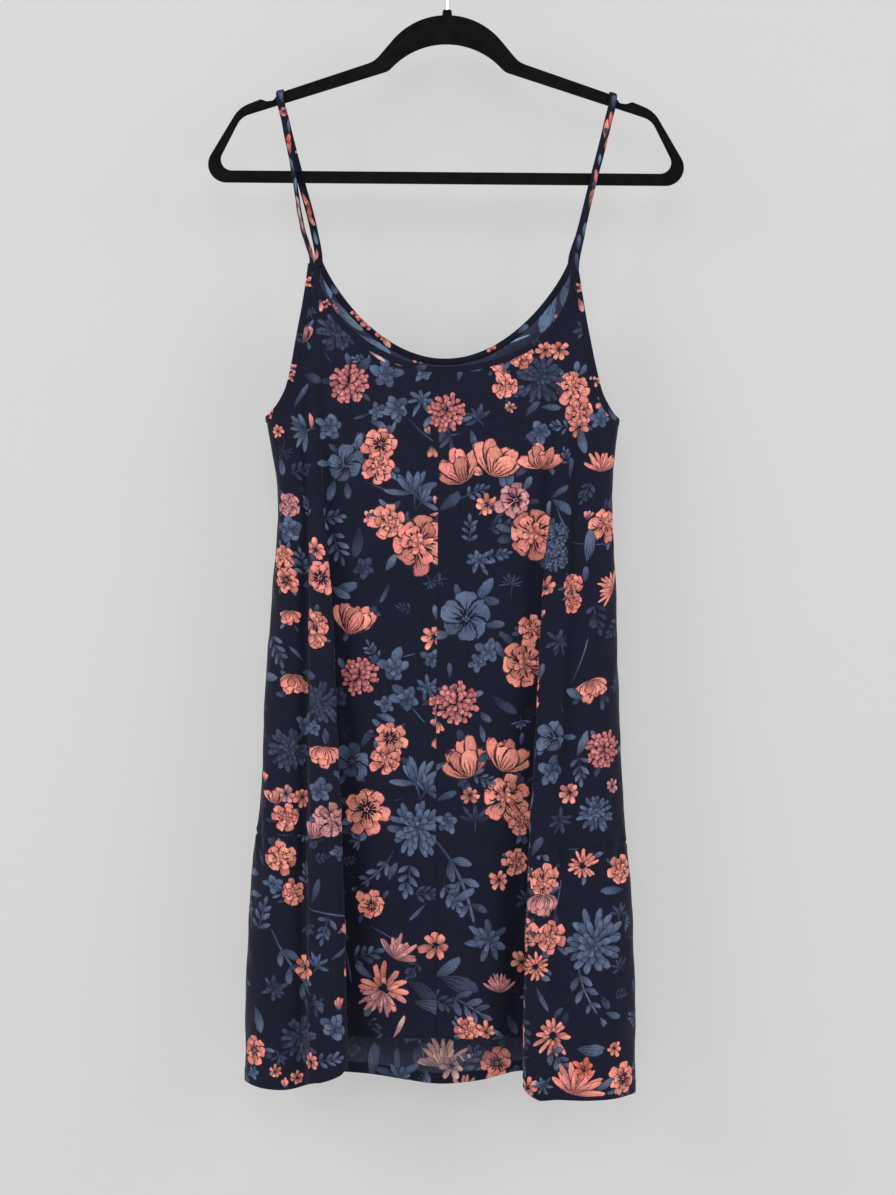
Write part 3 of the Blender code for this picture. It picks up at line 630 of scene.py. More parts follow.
def lay(face, flat):
    """Points and normals, in mm, of flat points (across, drop) on the hanging dress."""
    points, normals = np.zeros((len(flat), 3)), np.zeros((len(flat), 3))
    for side, sign in SIDES.items():
        mine = flat[:, 0] >= 0 if sign > 0 else flat[:, 0] < 0
        if mine.any():
            drape = DRAPES[face, side]
            out, drop = sign * flat[mine, 0], flat[mine, 1]
            place = drape.place_of(out, drop)
            normals[mine] = drape.normals(place, drop)
            lift = relief(drape, place, out, drop)[:, None]
            points[mine] = drape.points(place, drop) + normals[mine] * lift
    return points, normals


below_seam = DRAPES["front", "left"]
places = np.linspace(9.0, 13.0, 200)
drops = below_seam.level("seam", places) + 8.0
heights = relief(below_seam, places, below_seam.out_of(places, drops), drops)
print("below the seam the puckers move the cloth by", round(float(np.ptp(heights)), 1), "mm")

# %% [markdown]
# ## The print
# Flowers in coral and pink, and blooms and leaves in slate blue, lie scattered on the navy
# ground. Each flower is drawn from petals by rings and fans with a few sizes, so a daisy,
# an anemone or a tulip is one short table row for each ring. A petal is an outline that
# the cloth is cut along, so its edge stays sharp from near by, and its corners carry how
# far along and across the petal they lie, from which the finish draws ink lines and veins.

# %% Petals
Tone = namedtuple("Tone", "main other")
TONES = {
    "coral": Tone("#ffa48f", "#f08c84"),
    "deep": Tone("#f07c66", "#d8625a"),
    "pink": Tone("#e39d9c", "#c9848c"),
    "pale": Tone("#ecc0b6", "#cf9a9c"),
    "slate": Tone("#63708c", "#4a597a"),
    "dusk": Tone("#434b65", "#343c55"),
    "sky": Tone("#8fabcb", "#6c88ad"),
    "stem": Tone("#5a6884", "#48556f"),
    "rosy": Tone("#e88f8c", "#cd6f74"),
}
INK = "ink"
LEAFY = ("daisy", "anemone", "peony", "rose", "tulip", "cup", "pompom", "bloom")
Petal = namedtuple("Petal", "x y turn long wide sharp bend tone")
Ring = namedtuple("Ring", "count radius long wide sharp tone offset")
Fan = namedtuple("Fan", "count span base long wide sharp tone")
FLOWERS = {
    "daisy": (
        Ring(13, 0.16, 0.88, 0.15, 0.5, "own", 0),
        Ring(9, 0.06, 0.5, 0.11, 0.5, "own", 14),
        Ring(7, 0.0, 0.24, 0.09, 0.5, "ink", 20),
    ),
    "small": (Ring(7, 0.1, 0.92, 0.33, 0.45, "own", 0), Ring(5, 0.0, 0.32, 0.09, 0.5, "ink", 20)),
    "anemone": (
        Ring(7, 0.2, 0.84, 0.42, 0.4, "own", 0),
        Ring(7, 0.12, 0.62, 0.3, 0.42, "own", 26),
        Ring(13, 0.1, 0.36, 0.05, 0.5, "ink", 0),
        Ring(7, 0.0, 0.22, 0.09, 0.5, "ink", 8),
        Ring(5, 0.03, 0.1, 0.05, 0.5, "own", 12),
    ),
    "peony": (
        Ring(7, 0.36, 0.68, 0.42, 0.4, "own", 10),
        Ring(6, 0.2, 0.6, 0.34, 0.42, "own", 35),
        Ring(11, 0.12, 0.42, 0.045, 0.5, "ink", 0),
        Ring(6, 0.1, 0.36, 0.16, 0.45, "own", 20),
        Ring(4, 0.0, 0.24, 0.12, 0.45, "own", 50),
    ),
    "rose": (
        Fan(6, 190, 0.1, 1.0, 0.42, 0.45, "own"),
        Fan(4, 110, 0.35, 1.05, 0.36, 0.45, "own"),
        Fan(3, 60, 0.45, 0.85, 0.28, 0.45, "own"),
        Ring(4, 0.0, 0.3, 0.15, 0.5, "own", 20),
    ),
    "bloom": (
        Ring(6, 0.05, 0.95, 0.48, 0.42, "own", 0),
        Ring(9, 0.02, 0.34, 0.05, 0.5, "ink", 0),
        Ring(4, 0.0, 0.14, 0.06, 0.5, "own", 0),
    ),
    "mum": (
        Ring(15, 0.42, 0.62, 0.15, 0.7, "own", 0),
        Ring(13, 0.26, 0.54, 0.14, 0.66, "own", 14),
        Ring(10, 0.12, 0.42, 0.13, 0.62, "own", 5),
        Ring(6, 0.0, 0.28, 0.12, 0.6, "own", 25),
    ),
    "star": (Ring(7, 0.06, 0.94, 0.19, 0.95, "own", 0), Ring(6, 0.0, 0.55, 0.14, 0.8, "own", 24)),
    "ivy": (Ring(5, 0.0, 1.0, 0.4, 0.85, "own", 8), Ring(5, 0.0, 0.62, 0.26, 0.8, "own", 44)),
    "tulip": (
        Fan(4, 92, 0.75, 1.55, 0.44, 0.55, "own"),
        Fan(3, 56, 0.75, 1.65, 0.4, 0.52, "own"),
        Fan(2, 34, 0.75, 1.4, 0.46, 0.5, "own"),
    ),
    "cup": (
        Fan(5, 120, 0.55, 1.3, 0.4, 0.5, "own"),
        Fan(4, 80, 0.55, 1.15, 0.36, 0.48, "own"),
        Fan(3, 46, 0.55, 0.85, 0.3, 0.5, "own"),
    ),
    "fan": (Fan(10, 130, 0.5, 1.35, 0.15, 0.7, "own"), Fan(6, 80, 0.5, 0.85, 0.13, 0.6, "own")),
    "palm": (
        Fan(1, 0, 1.2, 1.0, 0.05, 0.3, "stem"),
        Fan(5, 150, 0.45, 1.35, 0.21, 0.9, "own"),
        Fan(2, 50, 0.5, 1.1, 0.2, 0.9, "own"),
    ),
    "sprig": (
        Fan(1, 0, 1.0, 2.0, 0.05, 0.3, "stem"),
        Fan(2, 110, 0.8, 0.85, 0.2, 0.9, "own"),
        Fan(2, 90, 0.3, 0.85, 0.2, 0.9, "own"),
        Fan(2, 76, -0.15, 0.75, 0.19, 0.9, "own"),
        Fan(1, 0, -0.45, 0.72, 0.19, 0.9, "own"),
    ),
    "leaf": (Fan(1, 0, 1.0, 2.1, 0.48, 0.85, "own"),),
    "blade": (Fan(1, 0, 1.0, 2.0, 0.24, 0.9, "own"),),
    "stem": (Fan(1, 0, 1.0, 2.0, 0.045, 0.25, "own"),),
    "bud": (Fan(3, 50, 0.7, 1.6, 0.42, 0.5, "own"), Fan(2, 60, 0.9, 0.7, 0.16, 0.8, "stem")),
    "twig": (Fan(1, 0, 1.0, 1.6, 0.04, 0.3, "own"), Fan(9, 210, 0.0, 0.8, 0.035, 0.3, "own")),
}
PROFILE_STEPS = (0.06, 0.24, 0.5, 0.72, 0.9)
SMALL_PETAL, SMALL_STEPS = 4.5, (0.08, 0.45, 0.88)
SEED = 7
VINES = {"vine": 0.35, "left_vine": -0.35}
VINE_LEAVES = (0.3, 0.52, 0.76, 1.0)
POMPOM_COUNT, POMPOM_REACH, GOLDEN_TURN = 46, 0.86, 137.5
GROW = {"bloom": 1.25, "ivy": 1.15, "tulip": 1.05, "sprig": 1.15, "leaf": 1.2, "star": 1.15}


def petal_half(u, sharp):
    """Half the width of a petal at a share of its length, as a share of its full half width."""
    return (4 * u * (1 - u)) ** sharp * (0.62 + 0.5 * u)


def turned(degrees):
    """The direction on the flat cloth at this many degrees clockwise from straight up."""
    angle = math.radians(degrees)
    return np.array([math.sin(angle), -math.cos(angle)])


def petal_outline(petal):
    """The corners of a petal on the flat cloth."""
    way = turned(petal.turn)
    side = np.array([-way[1], way[0]])
    base = np.array([petal.x, petal.y])
    steps = PROFILE_STEPS if petal.long > SMALL_PETAL else SMALL_STEPS
    half = [petal.wide * petal_half(u, petal.sharp) for u in steps]
    spine = [base + (way * u + side * petal.bend * u * u) * petal.long for u in (*steps, 1.0)]
    left = [point - side * wide for point, wide in zip(spine, half)]
    right = [point + side * wide for point, wide in zip(spine, half)]
    return [base, *left, spine[-1], *right[::-1]]


print("a petal has", len(petal_outline(Petal(0, 0, 0, 9, 3, 0.5, 0, "own"))), "corners")

# %% [markdown]
# A printed flower is never quite even, so every petal takes a small random part in its
# length, width and direction. Large flowers also have a few leaves behind them. The many
# short petals of a pompom turn by the golden angle, as they do on a real flower head, and
# a vine carries its leaves in pairs along a bent stem.

# %% Flowers
def leaves_behind(draw, middle, size):
    made = []
    for _ in range(draw.integers(2, 5)):
        lean = draw.uniform(0, 360)
        base = middle + turned(lean) * size * draw.uniform(0.5, 0.8)
        long, wide = size * draw.uniform(0.6, 0.95), size * draw.uniform(0.16, 0.26)
        tone = "slate" if draw.random() < 0.5 else "dusk"
        lean += draw.uniform(-35, 35)
        made.append(Petal(*base, lean, long, wide, 0.9, draw.uniform(-0.3, 0.3), tone))
    return made


def pompom(draw, middle, size, turn, tone):
    made = []
    for k in range(POMPOM_COUNT, 0, -1):
        away = turned(turn + GOLDEN_TURN * k)
        start = middle + away * size * POMPOM_REACH * math.sqrt(k / POMPOM_COUNT)
        lean = math.degrees(math.atan2(away[0], -away[1])) + draw.uniform(-24, 24)
        long, wide = size * draw.uniform(0.28, 0.4), size * draw.uniform(0.13, 0.17)
        made.append(Petal(*(start - away * size * 0.14), lean, long, wide, 0.45, 0.0, tone))
    return made


def vine(draw, middle, size, turn, tone, bow):
    long = 2.0 * size
    base, way = middle - turned(turn) * size, turned(turn)
    side = np.array([-way[1], way[0]])
    made = [Petal(*base, turn, long, 0.045 * size, 0.25, bow, "stem")]
    for share in VINE_LEAVES:
        at = base + (way * share + side * bow * share * share) * long
        lean = turn + math.degrees(math.atan(2 * bow * share))
        for spread in (-1, 1):
            leaf = size * draw.uniform(0.42, 0.62) * (1.1 - 0.4 * share)
            angle = lean + spread * draw.uniform(34, 60) * (share < 1)
            made.append(Petal(*at, angle, leaf, 0.26 * leaf, 0.9, -0.15 * spread, tone))
    return made


def drawn(kind, x, y, size, turn, tone):
    """A flower's petals in the order that they are printed.

    Its small differences hang on its place alone, so it is drawn alike on both sides of a seam.
    """
    draw = np.random.default_rng([SEED, int(10 * abs(x)), int(10 * y), int(x > 0)])
    middle = np.array([x, y])
    size *= GROW.get(kind, 1.08)
    made = leaves_behind(draw, middle, size) if kind in LEAFY and size > 8 else []
    if kind == "pompom":
        return made + pompom(draw, middle, size, turn, tone)
    if kind in VINES:
        return made + vine(draw, middle, size, turn, tone, VINES[kind])
    tilt, squash = draw.uniform(0, 360), draw.uniform(0.05, 0.32)
    for part in FLOWERS[kind]:
        own = tone if part.tone == "own" else part.tone
        for k in range(part.count):
            grow = draw.uniform(0.78, 1.1)
            if isinstance(part, Ring):
                lean = turn + part.offset + 360.0 * k / part.count + draw.uniform(-9, 9)
                base = middle + turned(lean) * part.radius * size
                grow *= 1 + squash * math.cos(math.radians(lean - tilt))
            else:
                share = k / (part.count - 1) - 0.5 if part.count > 1 else 0.0
                lean = turn + part.span * share + draw.uniform(-6, 6)
                base = middle - turned(turn) * part.base * size
            long, wide = part.long * size * grow, part.wide * size * draw.uniform(0.85, 1.12)
            bend = draw.uniform(-0.16, 0.16) * (2.5 if kind == "stem" else 1.0)
            made.append(Petal(*base, lean, long, wide, part.sharp, bend, own))
    return made


print("a pompom is drawn from", len(drawn("pompom", 50, 400, 7, 0, "rosy")), "petals")

# %% [markdown]
# The flowers' places are read from the picture and given as its pixels, because
# that is how the print was laid out. Each row is a flower's kind, the pixel of its middle
# and its size in millimetres, then its tone and its turn in degrees where it isn't coral
# and upright. Later rows lie on top.

# %% Where the flowers are
Motif = namedtuple("Motif", "kind px py size tone turn", defaults=("coral", 0))
PRINT = {
    "front_left_panel": (
        ("stem", 420, 430, 15, "stem", 135), ("stem", 388, 493, 22, "stem", 118),
        ("stem", 326, 357, 9, "stem", 155), ("stem", 418, 714, 16, "stem", 140),
        ("stem", 402, 655, 12, "stem", 55), ("mum", 337, 333, 18, "dusk"),
        ("ivy", 385, 375, 14, "slate"), ("sprig", 362, 361, 9, "slate", -70),
        ("ivy", 425, 373, 8, "slate", 10), ("star", 421, 400, 13, "slate"),
        ("ivy", 398, 409, 13, "slate", 30), ("ivy", 377, 412, 8, "slate", 50),
        ("leaf", 380, 425, 8, "slate", 110), ("leaf", 400, 361, 8, "pale", 95),
        ("blade", 377, 356, 8, "pale", 120), ("bud", 323, 304, 6, "coral", 150),
        ("pompom", 349, 384, 18, "rosy"), ("pompom", 447, 412, 17, "rosy"),
        ("bud", 428, 431, 4, "coral", -30), ("bud", 432, 452, 6, "coral", 170),
        ("anemone", 381, 444, 16), ("peony", 378, 467, 14, "coral", 20),
        ("ivy", 331, 427, 13, "slate"), ("leaf", 312, 420, 7, "coral", 5),
        ("leaf", 358, 444, 8, "slate", 20), ("bloom", 344, 466, 15, "slate"),
        ("leaf", 331, 491, 9, "slate", 200), ("leaf", 349, 492, 8, "slate", 165),
        ("leaf", 323, 462, 8, "slate", -80), ("palm", 411, 484, 19, "slate", -10),
        ("palm", 425, 497, 12, "slate", 35), ("star", 405, 522, 10, "dusk", 20),
        ("leaf", 435, 499, 4), ("leaf", 435, 515, 4, "coral", 90), ("small", 372, 518, 8),
        ("peony", 389, 523, 15), ("peony", 418, 543, 24), ("sprig", 331, 518, 12, "slate", 80),
        ("sprig", 338, 547, 14, "slate", 160), ("leaf", 393, 562, 9, "slate", 40),
        ("palm", 300, 430, 14, "slate", -95), ("small", 278, 431, 6),
        ("leaf", 283, 468, 8, "slate", 170), ("peony", 289, 506, 11, "pink"),
        ("ivy", 289, 529, 13, "slate"), ("peony", 283, 557, 11), ("anemone", 286, 580, 12),
        ("small", 316, 550, 10), ("anemone", 320, 578, 16), ("sprig", 302, 562, 12, "stem"),
        ("leaf", 349, 589, 13, "slate", 80), ("leaf", 340, 594, 9, "slate", 130),
        ("tulip", 354, 619, 18, "coral", 20), ("peony", 317, 624, 12),
        ("cup", 314, 641, 10, "coral", 180), ("cup", 290, 617, 9, "coral", 180),
        ("sprig", 276, 650, 14, "slate", 160), ("sprig", 372, 651, 9, "slate", -30),
        ("ivy", 394, 669, 14, "slate"), ("pompom", 360, 676, 17, "rosy"),
        ("star", 427, 688, 12, "slate"), ("ivy", 407, 698, 13, "slate", 30),
        ("ivy", 386, 704, 8, "slate", 50), ("leaf", 386, 718, 8, "slate", 110),
        ("leaf", 437, 611, 7, "slate"), ("ivy", 432, 659, 9, "slate", 10),
        ("small", 434, 637, 11), ("cup", 294, 684, 14, "coral", 180),
        ("mum", 321, 704, 18, "dusk"), ("pompom", 446, 704, 15, "rosy"),
        ("bud", 434, 722, 5, "coral", -20), ("bud", 436, 743, 6, "coral", 180),
        ("leaf", 365, 738, 8, "slate", 20), ("bloom", 352, 761, 15, "slate", 15),
        ("anemone", 390, 738, 15), ("peony", 386, 760, 14, "coral", 20),
        ("mum", 290, 750, 20, "dusk"), ("cup", 324, 757, 15, "coral", 180),
        ("palm", 416, 774, 19, "slate", -10), ("palm", 430, 787, 12, "slate", 35),
        ("ivy", 320, 791, 12, "slate"), ("bud", 266, 777, 6), ("tulip", 275, 795, 10),
        ("small", 286, 794, 8, "pink"), ("small", 302, 797, 9), ("peony", 286, 817, 12),
        ("tulip", 314, 827, 13, "pink"), ("peony", 331, 821, 15, "pink"),
    ),
    "front_right_panel": (
        ("stem", 560, 520, 18, "stem", 160), ("stem", 587, 545, 16, "stem", 100),
        ("stem", 606, 505, 16, "stem", 30), ("stem", 582, 662, 20, "stem", 20),
        ("stem", 455, 500, 18, "stem", -110), ("mum", 540, 378, 22, "dusk"),
        ("leaf", 477, 367, 9, "slate", 70), ("leaf", 461, 373, 7, "slate", 20),
        ("cup", 499, 369, 9, "coral", -120), ("peony", 521, 356, 12), ("small", 545, 350, 8),
        ("small", 559, 350, 9), ("peony", 506, 387, 11), ("small", 510, 407, 5, "pink"),
        ("leaf", 532, 409, 8, "slate", 40), ("leaf", 551, 407, 8, "slate", 90),
        ("pompom", 447, 412, 17, "rosy"), ("leaf", 474, 438, 7, "slate", 160),
        ("tulip", 457, 468, 19, "coral", -28), ("leaf", 519, 466, 9, "slate", 10),
        ("tulip", 499, 460, 20, "coral", 22), ("cup", 541, 457, 17),
        ("bud", 479, 472, 5, "coral", -60), ("leaf", 529, 482, 8, "slate", 30),
        ("leaf", 454, 502, 13, "slate", 60), ("sprig", 477, 491, 10, "slate", 70),
        ("blade", 489, 503, 14, "coral", 40), ("small", 487, 505, 10),
        ("anemone", 516, 500, 16, "pink"), ("sprig", 470, 530, 11, "slate"),
        ("star", 478, 560, 13, "slate"), ("sprig", 499, 555, 10, "slate", 80),
        ("peony", 534, 533, 23), ("twig", 511, 584, 13, "stem"),
        ("leaf", 562, 506, 10, "slate", 120), ("leaf", 560, 493, 8, "slate", 60),
        ("pompom", 557, 536, 12, "slate"), ("pompom", 557, 558, 12, "slate", 40),
        ("peony", 580, 413, 14), ("small", 579, 428, 9), ("small", 605, 404, 10),
        ("ivy", 600, 420, 9, "slate"), ("leaf", 582, 441, 11, "slate", 160),
        ("fan", 603, 463, 15), ("leaf", 570, 470, 8, "slate"), ("bud", 588, 515, 5, "pink"),
        ("peony", 606, 524, 15), ("leaf", 590, 545, 13, "slate"),
        ("leaf", 587, 572, 8, "slate"), ("peony", 571, 585, 11), ("peony", 573, 603, 9),
        ("fan", 608, 587, 13, "coral", -80), ("leaf", 458, 593, 9, "slate", -25),
        ("leaf", 483, 590, 11, "slate", 30), ("bloom", 466, 619, 21, "slate"),
        ("leaf", 494, 624, 8, "slate", 80), ("ivy", 489, 652, 12, "slate"),
        ("ivy", 478, 662, 8, "slate", 30), ("peony", 531, 630, 13), ("peony", 524, 664, 22),
        ("leaf", 450, 670, 6, "slate"), ("star", 560, 642, 12, "dusk"),
        ("sprig", 597, 618, 13, "dusk", 160), ("pompom", 457, 703, 19, "rosy"),
        ("bud", 438, 727, 6, "coral", 180), ("tulip", 464, 760, 21, "coral", -24),
        ("tulip", 508, 756, 19, "coral", 24), ("leaf", 483, 733, 7, "slate", 160),
        ("leaf", 521, 738, 6, "slate"), ("cup", 592, 690, 15, "coral", 160),
        ("leaf", 575, 694, 8, "slate", -60), ("pompom", 604, 749, 17, "rosy"),
        ("bloom", 554, 738, 13, "slate"), ("ivy", 551, 772, 13, "slate"),
        ("leaf", 582, 745, 9, "slate", 20), ("sprig", 580, 770, 12, "slate", 170),
        ("peony", 505, 797, 21), ("small", 470, 795, 8), ("peony", 521, 823, 13),
        ("leaf", 447, 795, 9, "slate", 60), ("sprig", 484, 779, 10, "slate", 110),
        ("small", 570, 793, 10), ("mum", 597, 812, 16, "slate"), ("star", 560, 822, 12, "dusk"),
        ("small", 612, 786, 7, "pink"),
    ),
    "front_left_tier": (
        ("anemone", 367, 809, 21), ("stem", 352, 965, 22, "stem", 160),
        ("stem", 325, 912, 20, "stem", 100), ("left_vine", 284, 966, 34, "slate", 165),
        ("vine", 384, 872, 22, "slate", 205), ("stem", 386, 932, 16, "stem", 110),
        ("sprig", 407, 880, 15, "slate", 190), ("sprig", 366, 955, 14, "slate", 70),
        ("leaf", 392, 872, 8, "slate", 20), ("mum", 416, 828, 25, "slate"),
        ("peony", 280, 858, 14), ("peony", 292, 893, 11), ("anemone", 372, 906, 13),
        ("fan", 399, 950, 17, "pink", 30), ("daisy", 383, 990, 22, "coral", 30),
        ("fan", 378, 1000, 17, "pink", 200), ("small", 306, 968, 12),
        ("sprig", 262, 915, 14, "slate", 20), ("blade", 318, 890, 14, "slate", 30),
        ("sprig", 325, 930, 12, "slate", 200), ("small", 436, 945, 13),
        ("leaf", 425, 990, 16, "dusk", 120), ("leaf", 432, 1005, 14, "slate", 100),
        ("blade", 403, 1026, 13, "pale", 40), ("bud", 339, 1004, 6),
        ("mum", 302, 1036, 20, "dusk"), ("ivy", 334, 1028, 13, "slate", 20),
        ("leaf", 260, 1021, 12, "slate", 160), ("star", 275, 990, 12, "dusk"),
        ("anemone", 255, 1050, 13), ("sprig", 330, 1060, 11, "slate", 80),
        ("small", 275, 1072, 6), ("small", 311, 1062, 8), ("small", 297, 1078, 7),
        ("bud", 285, 1083, 5),
    ),
    "front_right_tier": (
        ("vine", 466, 872, 42, "slate", 136), ("stem", 560, 905, 20, "stem", 20),
        ("left_vine", 578, 988, 26, "slate", 176), ("sprig", 452, 898, 14, "slate", 150),
        ("leaf", 462, 896, 10, "slate", 60), ("ivy", 447, 822, 10, "slate"),
        ("small", 436, 945, 13), ("small", 499, 880, 9), ("peony", 516, 862, 12),
        ("peony", 543, 882, 15), ("cup", 543, 905, 15, "pink", 180), ("peony", 550, 938, 14),
        ("mum", 594, 945, 27, "slate"), ("daisy", 582, 866, 13), ("peony", 621, 870, 13),
        ("star", 489, 941, 20, "slate"), ("small", 522, 962, 10),
        ("leaf", 462, 985, 17, "dusk", 110), ("leaf", 450, 968, 14, "slate", 60),
        ("sprig", 470, 1008, 18, "slate", 120), ("fan", 500, 985, 13, "pink"),
        ("peony", 468, 1030, 11), ("small", 486, 1032, 8), ("leaf", 512, 1024, 9, "dusk", 150),
        ("blade", 540, 1000, 12, "slate", 160), ("daisy", 553, 1035, 17),
        ("sprig", 560, 1062, 14, "slate", 140), ("fan", 577, 1082, 22, "coral", 15),
        ("small", 584, 1070, 9, "deep"), ("small", 528, 1088, 9),
        ("star", 542, 1086, 9, "slate"), ("anemone", 623, 1078, 14),
        ("leaf", 605, 1085, 9, "slate", 60), ("small", 614, 1048, 7),
        ("leaf", 592, 1052, 12, "slate", 100),
    ),
    "back_panel": (
        ("blade", 330, 283, 17, "sky", 160), ("blade", 347, 318, 22, "sky", 140),
        ("blade", 375, 345, 20, "sky", 118), ("small", 333, 311, 7, "pink"),
        ("leaf", 548, 312, 17, "sky", 200), ("leaf", 566, 302, 16, "sky", 165),
        # The sky stroke at 512, 340 is no stem of the print. It is a painted highlight: the pale line
        # along the fold of the front binding's top edge, laid on the back cloth that shows behind it.
        ("small", 560, 320, 7, "pink"), ("stem", 512, 340, 26, "sky", 60),
        ("stem", 520, 330, 22, "stem", 40),
    ),
    "back_tier": (
        ("leaf", 375, 1062, 13, "slate", 15), ("fan", 442, 1056, 21, "pale", -10),
        ("small", 452, 1066, 11, "pale"), ("anemone", 497, 1063, 15),
        ("sprig", 470, 1058, 13, "slate", 30),
    ),
}
print("flowers that show:", {piece: len(rows) for piece, rows in PRINT.items()})

# %% [markdown]
# ## Laying the flowers out
# Cloth is printed while it is flat, so a flower that shows at a pixel has to be found on
# the flat cloth. The line of sight through the pixel meets a section of the hanging cloth,
# and that place is unfolded. Cloth that the picture doesn't show, such as the inside of a
# fold and the back, takes the same flowers again, moved by a part of the print's repeat,
# and small foliage fills what is still empty.

# %% Laying the flowers out
def flat_place(face, px, py):
    """The flat place, as (across, drop), of the cloth that shows at a pixel."""
    forward = 12.0 if face == "front" else -12.0
    for _ in range(3):
        x, drop = seen_at(px, py, forward)
        middle = float(column_of(BODY, face + "_middle", np.array([drop]))[0])
        side = "right" if x >= middle else "left"
        drape = DRAPES[face, side]
        out = abs(x - middle)
        across, ahead = drape.outline(drape.places, drop + 0 * drape.places).T
        low, high = np.minimum(across[:-1], across[1:]), np.maximum(across[:-1], across[1:])
        crossing = np.flatnonzero((low <= out) & (out <= high))
        if len(crossing):
            best = crossing[np.argmax(ahead[crossing])]
            share = (out - across[best]) / max(across[best + 1] - across[best], 1e-6, key=abs)
            place = drape.places[best] + share * (drape.places[1] - drape.places[0])
        else:
            place = drape.last - 0.3
        forward = float(np.interp(place, drape.places, ahead))
    return np.array([SIDES[side] * float(drape.out_of([place], [drop])[0]), drop])


draw = np.random.default_rng(SEED)
REPEAT = 275.0
UPPER_TOP, UPPER_LONG = 300.0, 550.0
TIER_TOP, TIER_LONG = 800.0, 290.0
HIDDEN_IN_FOLD = (105, 160)
ROOM_ON_BACK, ROOM_IN_FOLD = 24.0, 26.0
seen_motifs = {
    piece: [(Motif(*row), flat_place(piece.split("_")[0], *row[1:3])) for row in rows]
    for piece, rows in PRINT.items()
}


def shifted(motifs, top, long, down):
    """The same flowers in another order down the cloth, across from where they were."""
    moved = []
    for motif, (across, drop) in motifs:
        moved.append((motif, np.array([-0.8 * across, top + (drop - top + down) % long])))
    return moved


def near_any(place, others, reach):
    return any(np.hypot(*(place - other)) < reach for _, other in others)


# The print runs on across the tier seam in the middle of the front, and is cut by it beside
MIDDLE = (346, 527)
layout = {}
for kind, top, long in (("panel", UPPER_TOP, UPPER_LONG), ("tier", TIER_TOP, TIER_LONG)):
    both = seen_motifs[f"front_left_{kind}"] + seen_motifs[f"front_right_{kind}"]
    shown = seen_motifs[f"back_{kind}"]
    moved = shifted(both, top, long, REPEAT / 2)
    layout[f"back_{kind}"] = [m for m in moved if not near_any(m[1], shown, ROOM_ON_BACK)] + shown
    for side in SIDES:
        own = seen_motifs[f"front_{side}_panel"] + seen_motifs[f"front_{side}_tier"]
        moved = [(m, np.array([-p[0], p[1]])) for m, p in shifted(own, top, long, REPEAT / 3)]
        spare = [m for m in moved if HIDDEN_IN_FOLD[0] < abs(m[1][0]) < HIDDEN_IN_FOLD[1]]
        spare = [m for m in spare if not near_any(m[1], own, ROOM_IN_FOLD)]
        own_kind = [m for m, _ in seen_motifs[f"front_{side}_{kind}"]]
        kept = [m for m in own if m[0] in own_kind or MIDDLE[0] < m[0].px < MIDDLE[1]]
        layout[f"front_{side}_{kind}"] = spare + kept


FOLIAGE = ("sprig", "palm", "leaf", "ivy", "sprig", "blade", "stem", "twig", "palm")
FOLIAGE_TRIES, FOLIAGE_ROOM, FOLIAGE_SLATE = 220, 0.85, 0.45


def fill_gaps(motifs, bounds):
    """Adds small leaves and stems of the ground's foliage where the cloth is still empty."""
    made = []
    for _ in range(FOLIAGE_TRIES):
        kind = FOLIAGE[draw.integers(len(FOLIAGE))]
        size = draw.uniform(6.0, 12.0)
        place = np.array([draw.uniform(*bounds[0]), draw.uniform(*bounds[1])])
        room = [np.hypot(*(place - p)) - FOLIAGE_ROOM * (m.size + size) for m, p in motifs + made]
        if min(room) > 0:
            tone = "slate" if draw.random() < FOLIAGE_SLATE else "dusk"
            made.append((Motif(kind, 0, 0, size, tone, draw.uniform(0, 360)), place))
    return made + motifs


BOUNDS = {
    "front_left_panel": ((-245, 0), (UPPER_TOP, 860)),
    "front_right_panel": ((0, 245), (UPPER_TOP, 860)),
    "back_panel": ((-190, 190), (UPPER_TOP, 850)),
    "front_left_tier": ((-275, 0), (TIER_TOP, 1080)),
    "front_right_tier": ((0, 275), (TIER_TOP, 1080)),
    "back_tier": ((-205, 205), (TIER_TOP, 1080)),
}
layout = {piece: fill_gaps(motifs, BOUNDS[piece]) for piece, motifs in layout.items()}
print("flowers and leaves", {piece: len(motifs) for piece, motifs in layout.items()})

# %% [markdown]
# ## Cutting the cloth along the print
# A constrained Delaunay triangulation takes the piece's outline, a filling of points and
# all the petals, and gives triangles that never cross a petal's edge. The last petal
# printed wins where several overlap. The flat triangles are then laid on the hanging dress.
# An image texture would be the usual way; cut petals stay sharp however near the eye is.

# %% Cutting
def signed_area(outline):
    x, y = outline.T
    return float(np.sum(x * np.roll(y, -1) - y * np.roll(x, -1))) / 2


def cut(outline, filling, petals):
    """Flat points, triangles and the petal that each triangle shows, or -1 for the ground."""
    if signed_area(outline) < 0:
        outline = outline[::-1]
    corners, faces = [tuple(p) for p in outline], [list(range(len(outline)))]
    low, high = outline.min(0) - 2, outline.max(0) + 2
    printed = []
    for petal in petals:
        around = petal_outline(petal)
        middle = sum(around) / len(around)
        if (low - petal.long < middle).all() and (middle < high + petal.long).all():
            faces.append(list(range(len(corners), len(corners) + len(around))))
            corners += [tuple(p) for p in around]
            printed.append(petal)
    corners += [tuple(p) for p in filling]
    found = delaunay_2d_cdt([Vector(p) for p in corners], [], faces, 0, 1e-4, True)
    points, triangles, origins = found[0], found[2], found[5]
    kept = [(t, max(own) - 1) for t, own in zip(triangles, origins) if own and min(own) == 0]
    flat = np.array([tuple(p) for p in points])
    triangles = np.array([t for t, _ in kept])
    owners = np.array([owner for _, owner in kept])
    used, triangles = np.unique(triangles, return_inverse=True)
    return flat[used], triangles.reshape(-1, 3), owners, printed


